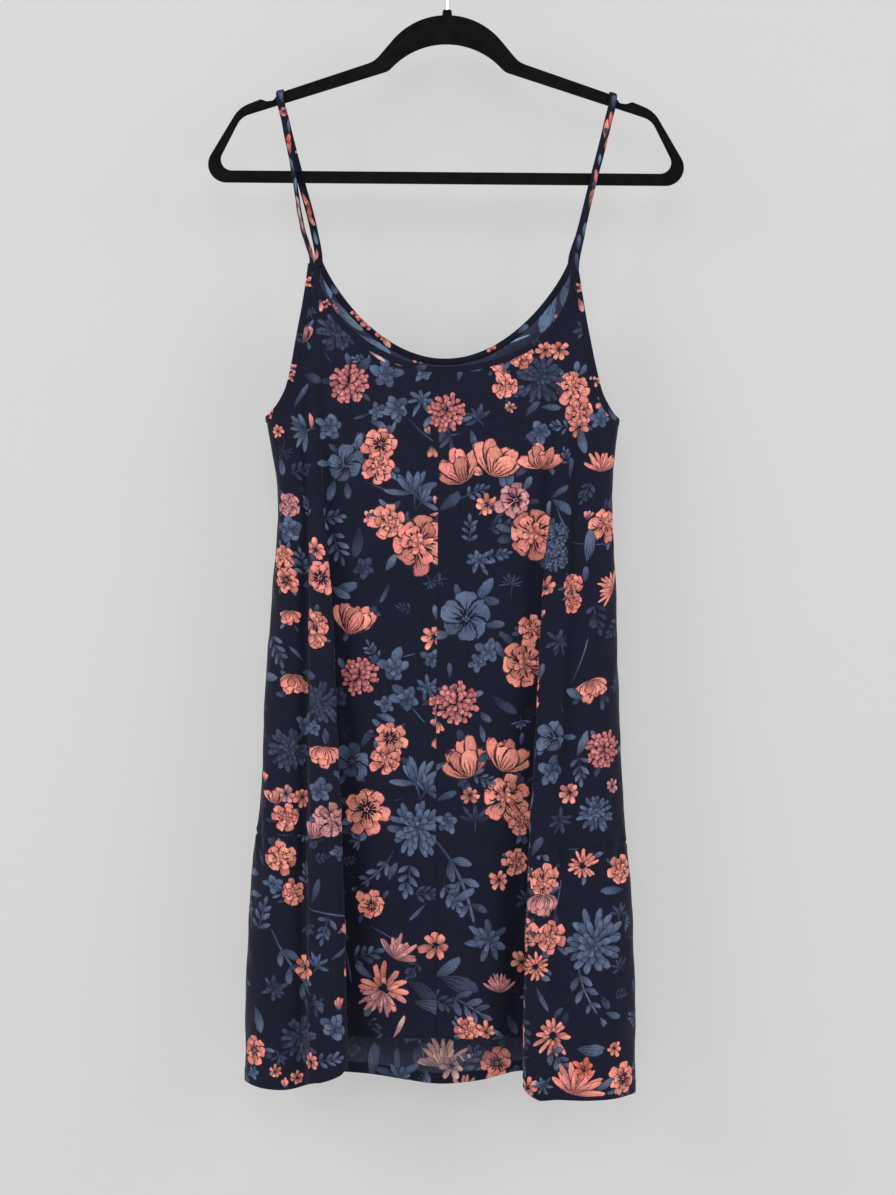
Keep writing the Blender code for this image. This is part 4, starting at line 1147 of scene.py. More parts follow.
square = np.array([(0.0, 0.0), (40.0, 0.0), (40.0, 40.0), (0.0, 40.0)])
trial = cut(square, square / 2 + 10.0, drawn("daisy", 20.0, 20.0, 12.0, 0, "coral"))
print("a square with one daisy is cut into", len(trial[1]), "triangles")

# %% [markdown]
# The mesh carries its print in two attributes on the corners of its faces: the dye, and
# where in its petal a corner lies. Both stay sharp at any distance, and need neither a
# picture nor a UV map. Each petal also takes its own tone, and a few are printed darker.

# %% Meshes that carry their print
DARKER = (1.0, 1.0, 1.0, 0.82, 0.62)


def printed_mesh(name, flat, triangles, owners, printed, points, normals):
    """A mesh that carries its print: a colour for each face, and places within the petals."""
    a, b, c = (points[triangles[:, k]] for k in range(3))
    if np.sum(np.cross(b - a, c - a) * normals[triangles[:, 0]]) < 0:
        triangles = triangles[:, ::-1]
    mesh = bpy.data.meshes.new(name)
    mesh.from_pydata((points * MM).tolist(), [], triangles.tolist())
    colours = np.zeros((len(triangles), 3, 4), np.float32)
    inside = np.zeros((len(triangles), 3, 3), np.float32)
    inside[..., 0] = 0.5
    nothing = Petal(0, 0, 0, 1, 1, 1, 0, INK)
    petals = printed or [nothing]
    table = np.array([(p.x, p.y, *turned(p.turn), p.long, p.wide, p.sharp, p.bend) for p in petals])
    clear = (0.0, 0.0, 0.0, 0.0)
    main = np.array([linear(TONES[p.tone].main) if p.tone != INK else clear for p in petals])
    other = np.array([linear(TONES[p.tone].other) if p.tone != INK else clear for p in petals])
    chance = np.random.default_rng(SEED)
    tones = main + (other - main) * chance.uniform(0, 1, (len(petals), 1))
    tones[:, :3] *= chance.choice(DARKER, (len(petals), 1))
    with_print = owners >= 0
    own = owners[with_print]
    colours[with_print] = tones[own][:, None]
    away = flat[triangles[with_print]] - table[own, None, 0:2]
    way = table[own, None, 2:4]
    side = np.stack([-way[..., 1], way[..., 0]], -1)
    u = (away * way).sum(-1) / table[own, 4][:, None]
    aside = (away * side).sum(-1) - table[own, 7][:, None] * u**2 * table[own, 4][:, None]
    inside[with_print, :, 0] = u
    inside[with_print, :, 1] = aside / table[own, 5][:, None]
    inside[with_print, :, 2] = table[own, 6][:, None]
    mesh.attributes.new("print", "FLOAT_COLOR", "CORNER").data.foreach_set("color", colours.ravel())
    mesh.attributes.new("petal", "FLOAT_VECTOR", "CORNER").data.foreach_set("vector", inside.ravel())
    mesh.shade_smooth()
    return mesh


def add_piece(name, mesh, *finishes):
    for finish in finishes:
        mesh.materials.append(finish)
    made = bpy.data.objects.new(name, mesh)
    bpy.context.scene.collection.objects.link(made)
    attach(made, "root")
    return made


print("tones of the print:", ", ".join(TONES))

# %% [markdown]
# ## Cloth finishes
# Viscose crepe is woven from hard-twisted yarn, so its surface is matt and finely crinkled,
# with a little sheen where it turns away. The print lies in the yarn and shows through to
# the wrong side, paler and greyer. Crepe's own crinkle is about half a millimetre wide; it
# is drawn twice as coarse here so that it shows at all. Its colour is painted lighter on
# the crinkle's crests and darker in its hollows: painted light and shade, besides its bump.

# %% Crepe
GROUND = "#0f1228"
STROKES, INK_DEPTH = 13.0, 0.96
WARP_SCALE, WEFT_SCALE = (700.0, 700.0, 200.0), (220.0, 220.0, 760.0)


def crepe(name, ground, wash=0.0, wash_colour="#000000"):
    """Printed viscose crepe. wash is how much the print has faded towards a colour."""
    finish, tree, shader = new_material(name)
    dye = add_node(tree, "ShaderNodeAttribute", attribute_name="print")
    spot = add_node(tree, "ShaderNodeAttribute", attribute_name="petal")
    part = add_node(tree, "ShaderNodeSeparateXYZ", {0: spot.outputs["Vector"]})
    u, v, sharp = part.outputs

    def math_node(kind, *values):
        return add_node(tree, "ShaderNodeMath", dict(enumerate(values)), operation=kind).outputs[0]

    def ramp(value, start, end, low=0.0, high=1.0):
        values = {"Value": value, "From Min": start, "From Max": end, "To Min": low, "To Max": high}
        made = add_node(tree, "ShaderNodeMapRange", values, interpolation_type="SMOOTHSTEP")
        return made.outputs[0]

    def scaled(colour, by):
        values = {0: colour, "Scale": by}
        return add_node(tree, "ShaderNodeVectorMath", values, operation="SCALE").outputs[0]

    here = add_node(tree, "ShaderNodeTexCoord").outputs["Object"]
    shaky = math_node("SUBTRACT", noise(tree, here, 170.0, 1.0), 0.5)
    four_u = math_node("MULTIPLY", u, 4.0)
    bulge = math_node("MAXIMUM", math_node("MULTIPLY", four_u, math_node("SUBTRACT", 1.0, u)), 0.001)
    lean = math_node("MULTIPLY_ADD", u, 0.5, 0.62)
    half = math_node("MULTIPLY", math_node("POWER", bulge, sharp), lean)
    side = math_node("MULTIPLY_ADD", shaky, 0.4, math_node("DIVIDE", v, half))
    rim = ramp(math_node("ABSOLUTE", side), 0.7, 0.86)
    tip = ramp(math_node("MULTIPLY_ADD", shaky, 0.3, u), 0.92, 0.97)
    wave = math_node("COSINE", math_node("MULTIPLY", side, STROKES))
    reach = math_node("MULTIPLY_ADD", u, 1.15, 0.2)
    vein = ramp(math_node("SUBTRACT", wave, reach), 0.0, 0.2)
    ink = math_node("MAXIMUM", math_node("MAXIMUM", rim, tip), vein)

    mottled = ramp(noise(tree, here, 210.0, 3.0), 0.3, 0.7, 0.93, 1.06)
    shaded = math_node("MULTIPLY", ramp(side, -0.2, 0.9, 1.03, 0.8), mottled)
    lit = math_node("MULTIPLY", ramp(u, 0.0, 0.75, 0.66, 1.06), shaded)
    petal = scaled(dye.outputs["Color"], lit)
    printed = mixed(tree, dye.outputs["Alpha"], linear(ground), petal)
    inked = mixed(tree, math_node("MULTIPLY", ink, INK_DEPTH), printed, linear(ground))
    washed = mixed(tree, wash, inked, linear(wash_colour))

    def threads(scale, detail):
        stretched = add_node(tree, "ShaderNodeMapping", {"Vector": here, "Scale": scale})
        return noise(tree, stretched.outputs[0], 1.0, detail)

    warp, weft = threads(WARP_SCALE, 2.0), threads(WEFT_SCALE, 1.0)
    grain = math_node("ADD", warp, math_node("MULTIPLY", weft, 0.6))
    # Where the crinkle stands high the colour is lighter, and in its hollows darker: painted light and
    # painted shade of the crinkle, on top of its bump.
    crinkle_lit_and_shaded = scaled(washed, ramp(grain, 0.55, 1.05, 0.8, 1.2))
    bump = add_node(tree, "ShaderNodeBump", {"Height": grain, "Strength": 0.5, "Distance": 0.0004})
    tree.links.new(crinkle_lit_and_shaded, shader.inputs["Base Color"])
    tree.links.new(bump.outputs[0], shader.inputs["Normal"])
    shader.inputs["Roughness"].default_value = 0.86
    shader.inputs["Specular IOR Level"].default_value = 0.25
    shader.inputs["Sheen Weight"].default_value = 0.08
    shader.inputs["Sheen Roughness"].default_value = 0.45
    return finish


right_side = crepe("printed_viscose_crepe", GROUND)
wrong_side = crepe("wrong_side_of_crepe", "#1d213a", wash=0.06, wash_colour="#a9afd0")
print("the crepe's finish is a tree of", len(right_side.node_tree.nodes), "nodes")

# %% [markdown]
# ## Front, back and tiers
# The dress is cut as two front panels, one back panel, and three pieces for the tier that
# is gathered on below. Each is a flat outline, closed along the bound edges, the seams and
# the hem. Solidify gives the shell its thickness and puts the wrong side inside.

# %% Outlines and fillings
STEP_ACROSS, STEP_DOWN, FOLD_STEP = {"front": 3.4, "back": 4.6}, 6.0, 4.0
INTO_BINDING = 0.72
NEAR_SEAM = np.arange(-14.0, 26.0, 2.0)
NEAR_HEM = (1.5, 4.0, 7.0, 9.0, 10.5, 12.0, 15.0)


def half_outline(drape, kind):
    """The flat outline of one half of a piece, from the middle of its top round to its foot."""
    places = np.linspace(0, drape.last, 90)
    seam, hem = drape.level("seam", places), drape.level("hem", places)
    low = hem if kind == "tier" else seam
    bottom = np.stack([drape.out_of(places, low), low], -1)
    if kind == "tier":
        top = np.stack([drape.out_of(places, seam), seam], -1)
    else:
        (neck, i), (arm, j), tip = drape.inner_edges(INTO_BINDING * BINDING_WIDTH)
        top = np.concatenate([neck[:i:4], [tip], arm[:j:4][::-1]])
        top[-1, 0] = drape.width(top[-1, 1])
    drops = np.arange(top[-1, 1] + STEP_DOWN, bottom[-1, 1] - 2, STEP_DOWN)
    side = np.stack([drape.width(drops), drops], -1)
    return np.concatenate([top, side, bottom[::-1]])


def half_filling(drape, kind):
    """Points all over one half, closer together where it folds."""
    top, foot = (300.0, 860.0) if kind == "panel" else (790.0, 1085.0)
    made = []
    step = STEP_ACROSS[drape.face]
    for k, drop in enumerate(np.arange(top, foot, STEP_DOWN)):
        width = float(drape.width(drop))
        outs = np.arange((k % 2) * step / 2 + 0.7, width, step)
        made.append(np.stack([outs, drop + 0 * outs], -1))
    if drape.face == "front":
        for drop in np.arange(top + 60.0 if kind == "panel" else top, foot, FOLD_STEP):
            places = np.linspace(1.3, 8.6, 36) + 0.07 * ((drop // FOLD_STEP) % 2)
            made.append(np.stack([drape.out_of(places, drop + 0 * places), drop + 0 * places], -1))
    places = np.linspace(0.02, drape.last - 0.02, 150)
    seam, hem = drape.level("seam", places), drape.level("hem", places)
    for away in NEAR_SEAM:
        made.append(np.stack([drape.out_of(places, seam + away), seam + away], -1))
    for away in NEAR_HEM:
        made.append(np.stack([drape.out_of(places, hem - away), hem - away], -1))
    return np.concatenate(made)


corners = half_outline(DRAPES["front", "left"], "panel")
print("the front left panel is cut along", len(corners), "corners")

# %% [markdown]
# ## Panels and tiers
# Each piece is now cut, printed and hung in turn. The back's two halves are joined down
# their middle, because it is cut in one; the front has a seam there. The hem's band is
# turned up, so from inside it shows the cloth's right side: its faces take a third slot.

# %% Panels and tiers
def mark_turned_hem(mesh, face, middles):
    """Gives the hem's band slot 2, whose inside is the right side of the cloth, turned up."""
    slots = np.zeros(len(middles), np.int32)
    for side, sign in SIDES.items():
        mine = middles[:, 0] >= 0 if sign > 0 else middles[:, 0] < 0
        drape = DRAPES[face, side]
        place = drape.place_of(np.abs(middles[mine, 0]), middles[mine, 1])
        slots[mine] = np.where(drape.level("hem", place) - middles[mine, 1] < HEM_BAND, 2, 0)
    mesh.polygons.foreach_set("material_index", slots)


def mirror_flat(points):
    return points * np.array([-1.0, 1.0])


for face, sides in (("front", ("left",)), ("front", ("right",)), ("back", ("left", "right"))):
    for kind in ("panel", "tier"):
        node = f"front_{sides[0]}_{kind}" if face == "front" else f"back_{kind}"
        halves = {side: half_outline(DRAPES[face, side], kind) for side in sides}
        fills = {side: half_filling(DRAPES[face, side], kind) for side in sides}
        if "left" in halves:
            halves["left"], fills["left"] = mirror_flat(halves["left"]), mirror_flat(fills["left"])
        if face == "back":
            outline = np.concatenate([halves["right"], halves["left"][::-1][1:-1]])
        else:
            outline = halves[sides[0]]
        filling = np.concatenate(list(fills.values()))
        petals = []
        for motif, (across, drop) in layout[node]:
            petals += drawn(motif.kind, across, drop, motif.size, motif.turn, motif.tone)
        flat, triangles, owners, printed = cut(outline, filling, petals)
        points, normals = lay(face, flat)
        mesh = printed_mesh(f"{node}_cloth", flat, triangles, owners, printed, points, normals)
        piece = add_piece(f"{node}_cloth", mesh, right_side, wrong_side, right_side, right_side)
        if kind == "tier":
            mark_turned_hem(mesh, face, flat[triangles].mean(1))
        shell = piece.modifiers.new("thickness", "SOLIDIFY")
        shell.thickness = CLOTH_THICK * MM
        shell.offset = 0.0
        shell.material_offset = 1
        shell.use_even_offset = False
        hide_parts(node)

# %% [markdown]
# ## Bound edges and straps
# The neckline and the armholes are bound with a narrow strip of the same crepe, folded over
# the edge, and the straps are narrow tubes of it pressed flat. Each is a soft flat tube: a
# rounded section carried along a line. They are cut and printed flat as well, as a strip
# whose width is the way round the tube.

# %% Tubes of cloth
ROUND_STEPS, STATION_STEP = 14, 1.6
FLATNESS = 0.55
WOBBLES = ((2.9, 1.0), (5.3, 0.8), (9.7, 0.6))


def tube(name, line, across, normals, half_widths, half_thicks, petals, seed):
    """A flat tube of cloth round a line of points, in mm, with its print.

    half_widths and half_thicks are half its width and thickness at each point.
    """
    length = np.concatenate([[0], np.cumsum(np.linalg.norm(np.diff(line, axis=0), axis=1))])
    total = float(length[-1])
    round_long = 4.0 * float(np.max(half_widths))
    stations = np.linspace(0, total, int(total / STATION_STEP) + 2)
    around = np.linspace(0, round_long, ROUND_STEPS + 1)
    filling = np.stack(np.meshgrid(stations[1:-1], around[1:-1]), -1).reshape(-1, 2)
    rim = [(s, 0.0) for s in stations] + [(total, r) for r in around[1:]]
    rim += [(s, round_long) for s in stations[::-1][1:]] + [(0.0, r) for r in around[::-1][1:-1]]
    room = 0.4
    low, high = np.array([room, room]), np.array([total - room, round_long - room])
    outlines = [np.array(petal_outline(petal)) for petal in petals]
    whole = [p for p, o in zip(petals, outlines) if (low < o).all() and (o < high).all()]
    flat, triangles, owners, printed = cut(np.array(rim), filling, whole)
    at, turn = flat[:, 0], 2 * math.pi * flat[:, 1] / round_long

    def read(values):
        return np.stack([np.interp(at, length, values[:, k]) for k in range(3)], -1)

    wide, out = read(across), read(normals)
    wide /= np.linalg.norm(wide, axis=1, keepdims=True)
    out /= np.linalg.norm(out, axis=1, keepdims=True)
    shift = np.random.default_rng(seed).uniform(0, 6.28, 3)
    waves = zip(WOBBLES, shift)
    wobble = sum(height * np.sin(at / long + start) for (long, height), start in waves)
    widths, thicks = np.interp(at, length, half_widths), np.interp(at, length, half_thicks)
    cos, sin = -np.cos(turn), -np.sin(turn)
    flatten = np.sign(sin) * np.abs(sin) ** FLATNESS
    points = read(line) + wide * (widths * cos)[:, None]
    points += out * (thicks * flatten * (1 + 0.10 * wobble) + 0.12 * wobble)[:, None]
    way = wide * cos[:, None] + out * (sin * 3)[:, None]
    mesh = printed_mesh(name, flat, triangles, owners, printed, points, way)
    shape = bmesh.new()
    shape.from_mesh(mesh)
    bmesh.ops.remove_doubles(shape, verts=shape.verts, dist=2e-6)
    bmesh.ops.holes_fill(shape, edges=[e for e in shape.edges if e.is_boundary], sides=0)
    shape.to_mesh(mesh)
    shape.free()
    mesh.shade_smooth()
    return add_piece(name, mesh, right_side), total


def strip_petals(rows, half_width):
    """Petals on a strip, from rows of (kind, mm along, share round, size, turn, tone)."""
    made = []
    for kind, at, around, size, turn, tone in rows:
        made += drawn(kind, at, around * 4 * half_width, size, turn, tone)
    return made


print("a tube has", ROUND_STEPS, "sides and a ring every", STATION_STEP, "mm")

# %% [markdown]
# ## Bound edges
# A binding goes round the raw edge of a neckline or an armhole and keeps it from
# stretching. Its middle line is taken from the cloth's own edge, laid on the hanging
# dress, so it follows every fold. Where a neckline's and an armhole's binding would cross
# below a strap, both narrow to one shared tip, as they do where they are sewn together.

# %% Bound edges
BINDING_HALF, BINDING_THICK = 3.25, 1.1
STITCH_INSET, THREAD_HALF = 1.0, 0.2
BOUND_STEP = 3


def bound_line(face, side, which):
    """Edge and inner lines of a bound edge on the flat cloth, from its foot up to the strap."""
    drape = DRAPES[face, side]
    line = drape.bound_edges()[which == "arm"][0]
    *inner, tip = drape.inner_edges(BINDING_WIDTH)
    low, end = inner[which == "arm"]
    low[end:, 0], low[end:, 1] = tip[0], line[end:, 1]
    low[end] = tip
    keep = np.unique(np.r_[0 : len(line) : BOUND_STEP, len(line) - 1])
    signs = np.array([SIDES[side], 1.0])
    return line[keep] * signs, low[keep] * signs


def binding(name, parts, petals, seed):
    """A bound edge from two halves, each a (face, side, which), joined at their feet."""
    edges = []
    for k, (face, side, which) in enumerate(parts):
        line, low = bound_line(face, side, which)
        edge3, _ = lay(face, line)
        low3, normal3 = lay(face, low)
        order = slice(None, None, -1) if k == 0 else slice(1, None)
        edges.append((edge3[order], low3[order], normal3[order]))
    edge3, low3, normal3 = (np.concatenate([e[k] for e in edges]) for k in range(3))
    across = edge3 - low3
    widths = np.linalg.norm(across, axis=1)
    across /= np.maximum(widths, 1e-3)[:, None]
    normal3 -= across * np.sum(normal3 * across, axis=1, keepdims=True)
    line = (edge3 + low3) / 2
    from_end = np.minimum(np.arange(len(line)), np.arange(len(line))[::-1])
    thicks = BINDING_THICK * (0.55 + 0.45 * eased(from_end, 0.0, 5.0))
    half_widths = np.minimum(widths / 2, BINDING_HALF)
    piece, total = tube(name, line, across, normal3, half_widths, thicks, petals, seed)
    inset = np.maximum(half_widths - STITCH_INSET, 0.3 * half_widths)
    rise = thicks * (1 - (inset / half_widths) ** 2) ** (FLATNESS / 2) + THREAD_HALF
    sewn = line - across * inset[:, None] + normal3 * rise[:, None]
    return piece, total, sewn[2:-2]


BINDINGS = {
    "front_neck_binding": (("front", "left", "neck"), ("front", "right", "neck")),
    "back_neck_binding": (("back", "left", "neck"), ("back", "right", "neck")),
    "left_armhole_binding": (("front", "left", "arm"), ("back", "left", "arm")),
    "right_armhole_binding": (("front", "right", "arm"), ("back", "right", "arm")),
}
STRIP_PRINT = {
    "front_neck_binding": (
        ("leaf", 12.0, 0.75, 4.0, 0, "slate"), ("small", 40.0, 0.74, 4.2, 0, "coral"),
        ("leaf", 150.0, 0.75, 5.0, 80, "stem"), ("leaf", 215.0, 0.73, 5.0, 100, "stem"),
        ("small", 262.0, 0.76, 4.0, 0, "dusk"), ("leaf", 300.0, 0.75, 5.0, 60, "slate"),
    ),
    "back_neck_binding": (
        ("small", 60.0, 0.25, 4.6, 0, "coral"), ("small", 68.0, 0.27, 4.8, 20, "coral"),
        ("small", 76.0, 0.25, 4.6, 0, "coral"), ("small", 92.0, 0.25, 4.6, 0, "coral"),
        ("leaf", 100.0, 0.26, 4.6, 80, "coral"), ("small", 205.0, 0.25, 4.2, 0, "coral"),
        ("leaf", 30.0, 0.25, 5.0, 90, "slate"), ("leaf", 240.0, 0.25, 5.0, 90, "slate"),
        ("small", 70.0, 0.75, 4.6, 0, "coral"), ("leaf", 150.0, 0.75, 5.0, 90, "slate"),
        ("small", 210.0, 0.75, 4.6, 0, "coral"),
    ),
    "left_armhole_binding": (
        ("leaf", 10.0, 0.75, 7.0, 90, "coral"), ("small", 18.0, 0.74, 4.6, 0, "coral"),
        ("small", 70.0, 0.75, 4.4, 0, "dusk"), ("small", 100.0, 0.75, 4.4, 0, "pink"),
        ("small", 108.0, 0.76, 4.0, 0, "coral"), ("small", 148.0, 0.75, 4.6, 0, "coral"),
        ("leaf", 210.0, 0.75, 5.0, 90, "slate"), ("small", 260.0, 0.75, 4.6, 0, "coral"),
    ),
    "right_armhole_binding": (
        ("small", 16.0, 0.75, 4.6, 0, "coral"), ("leaf", 25.0, 0.75, 6.0, 90, "coral"),
        ("leaf", 32.0, 0.74, 5.0, 80, "pink"), ("small", 105.0, 0.75, 4.4, 0, "coral"),
        ("leaf", 140.0, 0.75, 5.0, 90, "slate"), ("small", 215.0, 0.75, 4.6, 0, "coral"),
        ("leaf", 265.0, 0.75, 5.0, 90, "slate"),
    ),
}
sewn_lines = {}
for seed, (node, parts) in enumerate(BINDINGS.items()):
    petals = strip_petals(STRIP_PRINT[node], BINDING_HALF)
    piece, total, line = binding(f"{node}_cloth", parts, petals, seed)
    sewn_lines[node] = [line]
    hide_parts(node)
    print(node, "runs", round(total), "mm")

# %% [markdown]
# ## Stitching
# The bindings are edge-stitched a millimetre from their inner edge, and the hem is turned
# up once and sewn ten millimetres above its fold, in navy polyester thread. A stitch is the
# same small bead of thread over and over along a line, so Geometry Nodes set it: the line
# is cut at one pitch, and a stretched ball is put on each cut, turned along the line.

# %% Stitch tree
STITCHES = {"Pitch": 2.6 * MM, "Stitch": 1.9 * MM, "Thread": 2 * THREAD_HALF * MM}
BALL = {"Segments": 6, "Rings": 4, "Radius": 0.5}
thread, _, thread_shader = new_material("polyester_sewing_thread")
# Twisted polyester has a slight gloss, the same navy as the cloth's ground
thread_shader.inputs["Base Color"].default_value = linear("#14182c")
thread_shader.inputs["Roughness"].default_value = 0.55

sewing = bpy.data.node_groups.new("stitches", "GeometryNodeTree")
sewing.interface.new_socket("Line", in_out="INPUT", socket_type="NodeSocketGeometry")
for label in STITCHES:
    sewing.interface.new_socket(label, in_out="INPUT", socket_type="NodeSocketFloat")
sewing.interface.new_socket("Stitches", in_out="OUTPUT", socket_type="NodeSocketGeometry")
given = add_node(sewing, "NodeGroupInput").outputs
line = add_node(sewing, "GeometryNodeMeshToCurve", {"Mesh": given["Line"]}).outputs[0]
cuts = add_node(
    sewing, "GeometryNodeResampleCurve", {"Curve": line, "Length": given["Pitch"]}, mode="LENGTH"
)
ball = add_node(sewing, "GeometryNodeMeshUVSphere", BALL)
sides = {"X": given["Thread"], "Y": given["Thread"], "Z": given["Stitch"]}
size = add_node(sewing, "ShaderNodeCombineXYZ", sides)
tangent = add_node(sewing, "GeometryNodeInputTangent").outputs[0]
turned_along = add_node(
    sewing, "FunctionNodeAlignRotationToVector", {"Vector": tangent}, axis="Z"
).outputs[0]
beads = add_node(
    sewing,
    "GeometryNodeInstanceOnPoints",
    {
        "Points": cuts.outputs[0],
        "Instance": ball.outputs[0],
        "Rotation": turned_along,
        "Scale": size.outputs[0],
    },
)
real = add_node(sewing, "GeometryNodeRealizeInstances", {"Geometry": beads.outputs[0]})
sewn = add_node(
    sewing, "GeometryNodeSetMaterial", {"Geometry": real.outputs[0], "Material": thread}
)
add_node(sewing, "NodeGroupOutput", {"Stitches": sewn.outputs[0]})
print("the stitch tree has", len(sewing.nodes), "nodes, for a stitch every 2.6 mm")

# %% [markdown]
# The tree runs on a guide: a mesh that is only the sewn line. What comes out is kept as a
# plain mesh and the guide is taken away, so the stitches can leave Blender like any other
# piece. The hem's line is found on the flat tier and laid on the dress with it.

# %% Stitches
HEM_STITCH = 9.6


def hem_line(face, side):
    """The line of the hem's stitches on one half of a tier, in mm."""
    drape = DRAPES[face, side]
    places = np.linspace(0.05, drape.last - 0.05, 260)
    drop = drape.level("hem", places) - HEM_STITCH
    points, normals = lay(face, np.stack([SIDES[side] * drape.out_of(places, drop), drop], -1))
    return points + normals * (CLOTH_THICK / 2 + THREAD_HALF / 2)


def stitched(name, lines):
    """Stitches along lines of points in mm, as one plain mesh."""
    points = np.concatenate(lines) * MM
    starts = np.cumsum([0] + [len(row) for row in lines])
    edges = [(k, k + 1) for a, b in zip(starts, starts[1:]) for k in range(a, b - 1)]
    guide_mesh = bpy.data.meshes.new(f"{name}_guide")
    guide_mesh.from_pydata(points.tolist(), edges, [])
    guide = bpy.data.objects.new(f"{name}_guide", guide_mesh)
    bpy.context.scene.collection.objects.link(guide)
    work = guide.modifiers.new("sewing", "NODES")
    work.node_group = sewing
    for item in sewing.interface.items_tree:
        if item.name in STITCHES:
            work[item.identifier] = STITCHES[item.name]
    shown = guide.evaluated_get(bpy.context.evaluated_depsgraph_get())
    mesh = bpy.data.meshes.new_from_object(shown)
    bpy.data.objects.remove(guide)
    mesh.name = name
    mesh.shade_smooth()
    return mesh


for face, side in DRAPES:
    node = f"front_{side}_tier" if face == "front" else "back_tier"
    sewn_lines.setdefault(node, []).append(hem_line(face, side))
for node, lines in sewn_lines.items():
    mesh = stitched(f"{node}_stitches", lines)
    add_piece(f"{node}_stitches", mesh)
    print(node, "has", len(mesh.polygons) // (BALL["Segments"] * BALL["Rings"]), "stitches")

# %% [markdown]
# ## Straps
# A thin strap is a tube of the cloth turned right side out, with no elastic in it. Each one
# rises from a corner of the front, lies over the hanger's arm and goes down behind to the
# back, and its front run is a little twisted. Its path is a smooth curve through places
# measured on the solids and the picture, and the same tube as above is swept along it.

# %% Straps
ARM_CROSSING_X, STRAP_TOP_DROP, STRAP_TILT = 156.0, 142.6, 15.0
HANGER_THICK, STRAP_THICK, SEAM_GAP = 5.0, 1.5, 0.3
STRAP_PLACES = {
    "left": {
        "front": ((-150.6, 3.9, 172.0), (-142.0, 4.9, 223.0), (-133.2, 6.4, 273.0)),
        "back": ((-150.2, 3.9, 172.0), (-136.6, 4.6, 224.0), (-123.6, 5.4, 272.0)),
    },
    "right": {
        "front": ((150.8, 3.9, 172.0), (138.7, 4.9, 223.0), (127.4, 6.4, 273.0)),
        "back": ((150.8, 3.9, 172.0), (138.2, 4.6, 224.0), (126.6, 5.4, 272.0)),
    },
}
STRAP_HALF, STRAP_HALF_THICK, STRAP_SEWN_IN, STRAP_SEED = 3.55, 0.62, 5.0, 11
# Where the strap turns from the hanger's slope to level, and where its ends are caught in
LEVEL_FROM, LEVEL_OVER = 230.0, 80.0
CAUGHT_OVER, CAUGHT_WIDER, CAUGHT_THICKER = (3.0, 9.0), 0.3, 0.5
Twist = namedtuple("Twist", "top full ease foot turn")
TWISTS = {
    "left": Twist(top=168.0, full=212.0, ease=288.0, foot=334.0, turn=54.0),
    "right": Twist(top=190.0, full=225.0, ease=262.0, foot=290.0, turn=-25.0),
}
STRAP_PRINT = {
    "left": (
        ("blade", 12.0, 0.69, 7.0, 90, "coral"), ("blade", 16.0, 0.82, 6.0, 90, "deep"),
        ("blade", 40.0, 0.69, 7.5, 90, "pink"), ("blade", 52.0, 0.81, 8.0, 90, "pale"),
        ("blade", 64.0, 0.7, 7.5, 90, "pink"), ("blade", 82.0, 0.78, 9.0, 90, "sky"),
        ("blade", 100.0, 0.72, 8.0, 90, "slate"), ("leaf", 116.0, 0.8, 5.0, 90, "rosy"),
        ("leaf", 124.0, 0.78, 4.5, 90, "deep"), ("blade", 136.0, 0.7, 7.0, 90, "slate"),
        ("small", 150.0, 0.75, 4.6, 0, "rosy"), ("blade", 168.0, 0.72, 9.0, 90, "slate"),
        ("blade", 176.0, 0.8, 8.0, 90, "dusk"), ("leaf", 205.0, 0.75, 6.0, 90, "slate"),
        ("small", 235.0, 0.75, 4.4, 0, "coral"), ("blade", 282.0, 0.19, 8.0, 90, "coral"),
        ("blade", 292.0, 0.31, 8.5, 90, "deep"), ("blade", 301.0, 0.2, 7.5, 90, "coral"),
        ("blade", 317.0, 0.28, 6.5, 90, "sky"), ("blade", 334.0, 0.22, 6.0, 90, "coral"),
        ("leaf", 290.0, 0.75, 6.0, 90, "slate"),
    ),
    "right": (
        ("blade", 14.0, 0.72, 8.0, 90, "slate"), ("blade", 34.0, 0.8, 9.0, 90, "slate"),
        ("blade", 46.0, 0.7, 8.0, 90, "sky"), ("blade", 74.0, 0.69, 7.5, 90, "pink"),
        ("blade", 82.0, 0.81, 8.5, 90, "coral"), ("blade", 93.0, 0.7, 8.5, 90, "coral"),
        ("leaf", 88.0, 0.75, 4.0, 90, "dusk"), ("blade", 113.0, 0.75, 6.0, 90, "sky"),
        ("blade", 132.0, 0.69, 8.5, 90, "coral"), ("blade", 142.0, 0.81, 8.5, 90, "coral"),
        ("blade", 151.0, 0.7, 8.0, 90, "deep"), ("leaf", 140.0, 0.75, 3.6, 90, "dusk"),
        ("blade", 170.0, 0.75, 8.0, 90, "slate"), ("small", 236.0, 0.75, 4.4, 0, "coral"),
        ("blade", 280.0, 0.75, 7.0, 90, "slate"), ("blade", 310.0, 0.75, 6.0, 90, "coral"),
    ),
}


def strap_path(side):
    """Middle line of a strap from its front corner, over the hanger, to its back corner."""
    runs = []
    for face in ("front", "back"):
        drape = DRAPES[face, side]
        middle = drape.neck.reach + STRAP_WIDTH / 2
        place = float(drape.place_of(middle, drape.neck.top))
        x, y, z = drape.points(place, drape.neck.top)
        run = [(x, y, z - STRAP_SEWN_IN), (x, y, z + SEAM_GAP)]
        ahead = -1 if face == "front" else 1
        run += [(sx, ahead * away, -drop) for sx, away, drop in STRAP_PLACES[side][face][::-1]]
        runs.append(run)
    wrap = HANGER_THICK / 2 + SEAM_GAP + STRAP_THICK / 2
    top = -(STRAP_TOP_DROP + wrap - STRAP_THICK / 2)
    over = [
        (SIDES[side] * ARM_CROSSING_X, -wrap * math.cos(turn), top + wrap * math.sin(turn))
        for turn in np.linspace(0, math.pi, 9)
    ]
    return np.array(runs[0] + over + runs[1][::-1])


